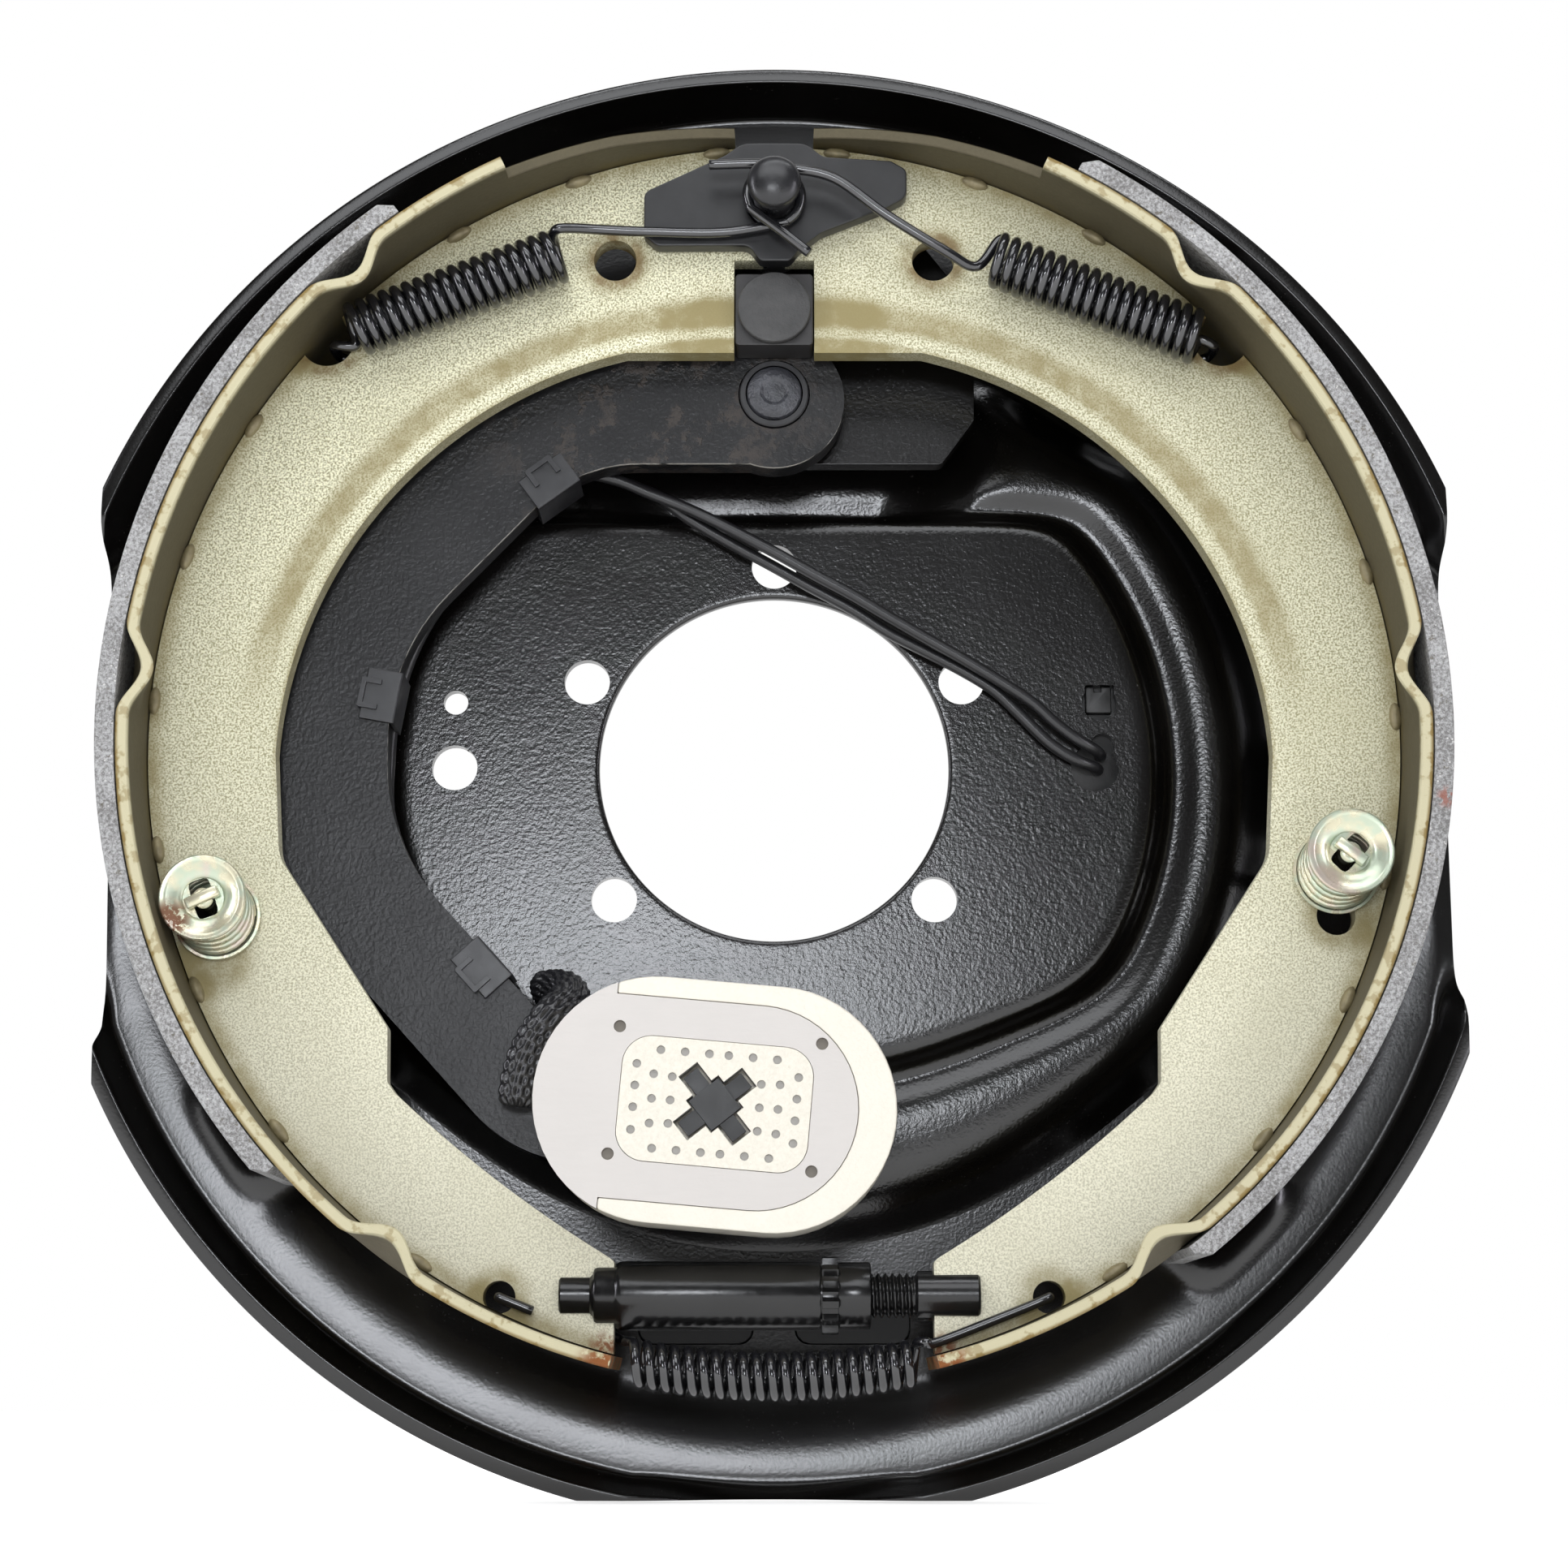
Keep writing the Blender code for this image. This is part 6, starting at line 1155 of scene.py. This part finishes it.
def lining_stuff(name, spots):
    """Grey moulded lining with pale grains, dark pits and soft cloudy dust."""
    finish = Finish(name, Roughness=0.85, Specular_IOR_Level=0.3)
    grit = finish.noise(0.0008, 3, 0.75)
    cloud = finish.noise(0.012, 4)
    grains = finish.node("TexVoronoi", {}, {"Vector": finish.place, "Scale": 900.0}).ramp(0.28, 0.12)
    colour = finish.mix((grit * 0.75 + cloud * 0.25).ramp(0.36, 0.64), (0.15, 0.145, 0.14), (0.42, 0.42, 0.415))
    colour = finish.mix(finish.noise(0.0022, 4, 0.7).ramp(0.60, 0.68) * 0.7, colour, (0.10, 0.085, 0.06))
    colour = finish.mix(grains * finish.noise(0.003, 2).ramp(0.55, 0.6), colour, (0.55, 0.54, 0.52))
    for x, y, size in spots:
        spot = finish.reach(x, y).ramp(size * 0.001, size * 0.0003) * finish.noise(0.0015, 3).ramp(0.42, 0.52)
        colour = finish.mix(spot * 0.8, colour, (0.26, 0.09, 0.06))
    finish.set(Base_Color=colour)
    return finish.bump(grit, 0.00014)


for word, first, last, spots in (("primary", 126.0, 222.5, ()),
                                 ("secondary", 61.5, -52.5, [(148.6, -16.5, 3.2)])):
    dress(lining(word + "_lining_moulded", first, last), lining_stuff(word + "_lining_stuff", spots),
          word + "_shoe", word + "_lining")


# Adjuster
# A turned barrel with a slotted end takes the front shoe, and a threaded rod with a slotted end takes
# the rear one. The star wheel between them turns on the thread. All are blackened steel, oiled.
AXIS_Y, AXIS_H = -124.4, 24.6
AXIS = (0, AXIS_Y, AXIS_H)


def slot_cut(x0, x1):
    """A body that cuts the slot for a web's toe into a turned end."""
    return column(box(x0, x1, AXIS_Y - 12, AXIS_Y + 12), AXIS_H - 3.3, AXIS_H + 3.3)


oiled = mill_steel("adjuster_steel", (0.004, 0.004, 0.004), (0.009, 0.009, 0.009), 0.10)
barrel = turned("barrel_turned", [(-47.6, 4.7), (-47.2, 5.1), (-40.8, 5.1), (-40.2, 5.6), (-39.8, 6.6),
                                  (-39.2, 6.9), (-35.4, 6.9), (-34.9, 7.2), (-34.2, 7.5), (-33.6, 7.6),
                                  (9.9, 7.6), (10.2, 7.5), (10.3, 7.3), (10.3, 6.6), (-22, 6.6), (-24, 1.0)],
                AXIS, axis="X", steps=72)
carve(barrel, slot_cut(-49, -35.1))
dress(barrel, oiled, "plate", "adjuster_socket")


def thread(name, x0, x1, pitch, crest, root, steps=48, rows=9):
    """A screw thread: the radius is a rounded wave of the distance along less the turn's share of a pitch."""
    count = int((x1 - x0) / pitch * rows) + 1
    along = np.linspace(x0, x1, count)[:, None]
    turn = np.arange(steps)[None, :] * math.tau / steps
    wave = (along / pitch - turn / math.tau) % 1.0
    height = 1 - np.abs(2 * wave - 1)
    ends = np.clip(np.minimum(along - x0, x1 - along) / pitch, 0, 1)
    radius = root + (crest - root) * np.clip(height * 1.5 - 0.25, 0, 1) * ends
    points = np.stack([np.broadcast_to(along, radius.shape), AXIS_Y + radius * np.cos(turn),
                       AXIS_H + radius * np.sin(turn)], -1)
    return build(name, stand(points), smooth=45)


screw = thread("screw_cut", -16, 31.6, 1.59, 5.0, 4.1)
end = turned("end", [(31.0, 3.9), (31.4, 4.9), (31.8, 5.5), (45.1, 5.6), (45.6, 5.2)], AXIS, axis="X")
carve(end, slot_cut(35.1, 48))
dress(gather(screw, end), oiled, "screw", "adjuster_screw")


def star_wheel(name, teeth=12, steps=6):
    """A ring whose radius is a blunt wave of the turn at its toothed rim, plain on its collar."""
    turn = np.arange(teeth * steps) * math.tau / (teeth * steps)
    wave = (turn * teeth / math.tau) % 1.0
    tooth = np.clip(2.2 - np.abs(2 * wave - 1) * 3.2, 0, 1)
    x, base, rise = np.array([(10.6, 5.4, 0), (10.6, 6.9, 0), (10.6, 6.9, 0.95), (10.9, 6.95, 1),
                              (13.9, 6.95, 1), (14.2, 6.9, 0.95), (14.2, 7.3, 0), (14.4, 7.4, 0),
                              (20.9, 7.4, 0), (21.2, 7.3, 0), (21.4, 6.9, 0), (21.4, 5.4, 0)]).T[:, :, None]
    radius = base + rise * 1.7 * tooth
    rings = np.stack([np.broadcast_to(x, radius.shape), AXIS_Y + radius * np.cos(turn),
                      AXIS_H + radius * np.sin(turn)], -1)
    return build(name, stand(rings), closed=True, smooth=30)


wheel = star_wheel("star_wheel_cut")
sleeve_nut = turned("nut", [(-20, 5.4), (-20, 6.2), (10.7, 6.2), (10.7, 5.4)], AXIS, axis="X", steps=48,
                    closed=False)
dress(gather(wheel, sleeve_nut), oiled, "star", "star_wheel")


# Springs
# The return springs are close-wound from black wire. One end hooks through a web's notch, and the
# other is bent into a loop over the anchor post. A third spring pulls the shoe toes together.
def coil(start, end, radius, turns, first, sag=0.0, steps=28):
    """A helix about a line: the point goes round while it moves along, and the line may sag."""
    a, b = np.array(start, float), np.array(end, float)
    share = np.linspace(0, 1, int(turns * steps) + 1)
    line = (b - a) / np.linalg.norm(b - a)
    up = np.array([-line[1], line[0], 0.0])
    out = np.cross(line, up)
    turn = math.radians(first) + share * turns * math.tau
    middle = a + share[:, None] * (b - a)
    middle[:, 1] -= sag * 4 * share * (1 - share)
    return middle + radius * (np.cos(turn)[:, None] * up + np.sin(turn)[:, None] * out)


def spring(name, run_in, body, run_out, radius):
    """One wire: a run in, the coil and a run out, each smoothed on its own and joined end to end."""
    first = smooth_path(np.vstack([run_in, body[:1]]), 7)[:-1]
    last = smooth_path(np.vstack([body[-1:], run_out]), 7)[1:]
    return tube(name, np.vstack([first, body, last]), radius, 12, 0.2)


spring_black = Finish("spring_black", Roughness=0.17, Specular_IOR_Level=1.0)
spring_black.set(Base_Color=spring_black.mix(spring_black.noise(0.004), (0.005, 0.005, 0.006),
                                             (0.011, 0.011, 0.013)))
COIL_H, LOW = 34.6, 34.7
COIL_RADIUS, WIRE = 5.5, 1.2
HIGH = LOW + 5.6
NECK = 6.3
NX, NY = 139.8 * math.cos(NOTCH_TURN), SHOE_Y + 139.8 * math.sin(NOTCH_TURN)


def notch_hook(side):
    """The bend through the web's notch, from its cut end behind the web to the coil."""
    return [(side * (NX - 8), NY - 3.4, 20.1), (side * (NX - 2), NY - 1.0, 20.1),
            (side * (NX - 0.4), NY - 0.4, 21.5), (side * (NX - 0.4), NY - 0.4, 28.2)]


def round_neck(turn, height):
    """Points round the anchor post's neck, at angles and heights."""
    return np.stack([NECK * np.cos(turn), POST[1] + NECK * np.sin(turn), height], -1)


body = coil((-98.0, 96.7, COIL_H), (-49.8, 115.4, COIL_H), COIL_RADIUS, 18.25, 270)
turn = np.radians(-75 + 294 * np.linspace(0, 1, 22))
loop = round_neck(turn, LOW + 2.9 * np.linspace(0, 1, 22))
run_in = np.array(notch_hook(-1) + [tuple(body[0] + (-0.4, -1.8, -0.1))])
run_out = np.vstack([[body[-1] + (1.3, 0.7, 1.3), (-46.8, 121.6, LOW + 0.6), (-41.0, 121.5, LOW),
                      (-30, 121.0, LOW), (-12, 120.8, LOW)], loop,
                     [(2.0, 119.6, LOW + 3.4), (8.0, 114.6, LOW + 3.4)]])
stretch(spring("primary_spring_wound", run_in, body, run_out, WIRE), spring_black, "primary_return_spring")

body = coil((98.6, 95.0, COIL_H), (51.8, 114.2, COIL_H), COIL_RADIUS, 17.75, 270)
run_in = np.array(notch_hook(1) + [tuple(body[0] + (0.9, 1.6, -0.1))])
over = round_neck(np.radians([58, 74, 90]), np.full(3, HIGH))
run_out = np.vstack([[body[-1] + (-1.8, -1.2, 1.0), (47.0, 111.6, HIGH - 3.4), (40.0, 114.6, HIGH - 1.6),
                      (26.0, 123.2, HIGH - 0.4), (14.0, 132.0, HIGH)], over,
                     [(-6.0, 135.6, HIGH), (-15.0, 135.3, HIGH)]])
stretch(spring("secondary_spring_wound", run_in, body, run_out, WIRE), spring_black, "secondary_return_spring")

DEPTH = 29.4
body = coil((-31.0, -139.0, DEPTH - 1), (31.6, -139.0, DEPTH - 1), 4.4, 21, 0, 3.0)
TX, TY, REAR = *TOE_HOLE, 20.2
run_in = np.array([(-(TX - 7.4), TY - 3.0, DEPTH), (-(TX - 0.9), TY - 0.4, DEPTH), (-TX, TY, DEPTH - 0.9),
                   (-TX, TY, REAR + 0.9), (-(TX - 0.9), TY - 0.3, REAR), (-40, -131.4, REAR),
                   (-34, -134, REAR + 0.4), tuple(body[0] + (-1.6, 0.2, -2.4))])
run_out = np.array([tuple(body[-1] + (1.8, 0, 1.4)), (36.6, -134.4, DEPTH), (TX - 6, TY - 2.6, DEPTH),
                    (TX - 0.9, TY - 0.4, DEPTH), (TX, TY, DEPTH - 0.9), (TX, TY, REAR + 0.6)])
stretch(spring("adjuster_spring_wound", run_in, body, run_out, 1.1), spring_black, "adjuster_spring")


# Hold-downs
# A pin goes through the plate and the web, and its flattened head is turned across a cup that presses
# a short spring on an inner seat. All are plated yellow, with greenish and pink tints.
def yellow(name, centre, rust):
    """Yellow passivated zinc: pale gold with soft green and pink tints, rust where it has worn, and painted shade in
    the cup's hole.
    """
    finish = Finish(name, Metallic=0.6)
    tint = finish.noise(0.0045, 2)
    other = finish.noise(0.0075, 2)
    colour = finish.mix(tint.ramp(0.38, 0.62), (0.66, 0.62, 0.45), (0.52, 0.59, 0.46))
    colour = finish.mix(other.ramp(0.52, 0.68) * 0.7, colour, (0.66, 0.53, 0.47))
    rough = 0.22 + tint * 0.12
    if rust:
        x, y, size = rust
        patch = finish.reach(x, y).ramp(size * 0.001, size * 0.0004)
        patch = patch * finish.noise(0.0022, 4, 0.7).ramp(0.42, 0.5)
        colour = finish.mix(patch * 0.9, colour, (0.20, 0.075, 0.035))
        rough = rough + patch * 0.45
    x, y = centre
    # Painted shade: inside the cup's hole, behind the pin's head, the zinc is painted near black.
    hole_shade = finish.reach(x, y).ramp(0.0043, 0.0036) * finish.axis("Y").ramp(HUB_DEPTH - 0.0390, HUB_DEPTH - 0.0380)
    finish.set(Base_Color=finish.mix(hole_shade, colour, (0.012, 0.012, 0.006)), Roughness=rough)
    return finish.bump(finish.noise(0.0012, 2), 0.00003)


def slotted(cup, nail, turn):
    """Narrow a cup's round hole to a slot: its rim moves in to a rounded box of 8.8 by 4.9 mm."""
    flat = np.empty(len(cup.data.vertices) * 3)
    cup.data.vertices.foreach_get("co", flat)
    points = flat.reshape(-1, 3)
    centre = np.array([nail[0] * 0.001, HUB_HEIGHT + nail[1] * 0.001])
    away = points[:, [0, 2]] - centre
    size = np.linalg.norm(away, axis=1)
    angle = np.arctan2(away[:, 1], away[:, 0]) - turn
    slot = 0.001 / ((np.abs(np.cos(angle)) / 4.4) ** 6 + (np.abs(np.sin(angle)) / 2.45) ** 6) ** (1 / 6)
    share = np.where(size < 0.00445, slot / np.maximum(size, 1e-6), 1.0)
    points[:, [0, 2]] = centre + away * share[:, None]
    cup.data.vertices.foreach_set("co", points.ravel())
    cup.data.update()


def holddown(word, nail, turn, rust=None):
    """One set: pin with its flattened head, inner seat, spring and slotted cup."""
    x, y = nail
    metal = yellow(word + "_pin_zinc", nail, rust)
    shank = turned(word + "_pin_turned", [(-18.9, 5.0), (-17.7, 5.6), (-17.5, 5.2), (-17.5, 2.2), (40.2, 2.2)], nail,
                   steps=32)
    c, s = math.cos(turn), math.sin(turn)
    bar = [(x + c * u - s * v, y + s * u + c * v) for u, v in box(-3.9, 3.9, -1.25, 1.25)]
    combine(shank, round_edges(column(bar, 39.3, 41.7), 0.35))
    dress(shade(shank, 35), metal, "plate", word + "_holddown_pin")
    lean_x, lean_y = 1.5 * math.copysign(1, -x), -2.6
    seat = turned(word + "_seat_pressed", [(27.9, 5.4), (27.9, 9.2), (28.2, 9.5), (29.5, 9.9), (29.7, 9.8),
                                           (29.7, 9.2), (29.3, 8.8), (28.9, 8.2), (28.9, 5.4)],
                  (x + lean_x, y + lean_y), closed=False)
    dress(seat, metal, "plate", word + "_holddown_seat")
    share = np.linspace(0, 5, 131)
    rise = np.clip((share - 0.6) / 3.8, 0, 1)
    path = np.stack([x + lean_x * (1 - rise) + 8.3 * np.cos(math.tau * share),
                     y + lean_y * (1 - rise) + 8.3 * np.sin(math.tau * share), 30.6 + (36.7 - 30.6) * rise], -1)
    wire = tube(word + "_press_spring", path, 0.8, 10)
    wire.data.materials.append(metal.material)
    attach(wire, "plate")
    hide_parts(word + "_holddown_spring")
    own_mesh(wire)
    cup = turned(word + "_cup_pressed", [(37.8, 4.4), (37.8, 5.3), (38.1, 5.8), (39.3, 8.0), (39.6, 9.3),
                                         (39.8, 9.65), (40.2, 9.75), (40.7, 9.7), (41.0, 9.4), (41.0, 8.5),
                                         (40.8, 8.1), (39.7, 6.6), (39.5, 5.6), (39.3, 4.9), (39.0, 4.6),
                                         (39.0, 4.4)], nail, closed=False)
    slotted(cup, nail, turn + math.radians(84))
    dress(cup, metal, word + "_cup", word + "_holddown_cup")


holddown("primary", PRIMARY_NAIL, math.radians(25), (-134.2, -42.5, 6.0))
holddown("secondary", SECONDARY_NAIL, math.radians(-38))


# Lead clip
# A moulded black clip behind the plate holds both leads where they leave the hole. Its split square
# peg snaps into the square hole above.
clip_outline = rounded(box(67.5, 84.4, -8.2, 21.4), [3] * 4)
clip = plain_prism("lead_clip_moulded", clip_outline, -12.9, -3.25, bevel=0.6)
peg = column([(74.3, 13.5), (80.4, 13.5), (80.4, 19.9), (78.0, 19.9), (78.0, 18.6), (76.4, 18.6), (76.4, 19.9),
              (74.3, 19.9)], -4.0, -0.9)
shade(combine(clip, round_edges(peg, 0.3)), 32)
dress(clip, rubber("clip_plastic", 0.010, 0.42), "plate", "lead_clip")


# Lead tails
# The two leads hang down behind the plate with bare cut ends, to be joined to the trailer's wiring.
tail_cover = Finish("tail_insulation", Base_Color=(0.012, 0.012, 0.013), Roughness=0.36,
                    Specular_IOR_Level=0.55)
TAIL_A = [(78.2, 4.6, -13.6), (78.2, 4.4, -18.0), (78.4, 2.0, -23.0), (78.9, -4.0, -26.0),
          (79.6, -16.0, -27.0), (80.6, -34.0, -27.0), (81.4, -56.0, -26.6), (81.6, -80.0, -26.4),
          (81.0, -104.0, -26.2), (80.0, -130.0, -26.0)]
TAIL_B = [(77.2, 0.0, -13.6), (77.2, -0.4, -17.0), (77.0, -3.0, -20.6), (76.4, -9.0, -22.4),
          (75.8, -20.0, -23.0), (75.2, -38.0, -23.0), (74.8, -60.0, -22.8), (75.0, -84.0, -22.6),
          (75.8, -108.0, -22.4), (77.0, -136.0, -22.4)]
for word, route in (("a", TAIL_A), ("b", TAIL_B)):
    node = "lead_tail_" + word
    curve = bpy.data.curves.new(node + "_cord", "CURVE")
    curve.dimensions = "3D"
    line = curve.splines.new("POLY")
    points = stand(smooth_path(route, 5))
    line.points.add(len(points) - 1)
    line.points.foreach_set("co", np.column_stack([points, np.ones(len(points))]).ravel())
    curve.bevel_depth = LEAD_RADIUS * 0.001
    curve.bevel_resolution = 4
    curve.use_fill_caps = True
    cord = bpy.data.objects.new(node + "_cord", curve)
    bpy.context.collection.objects.link(cord)
    curve.materials.append(tail_cover.material)
    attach(cord, "plate")
    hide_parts(node)
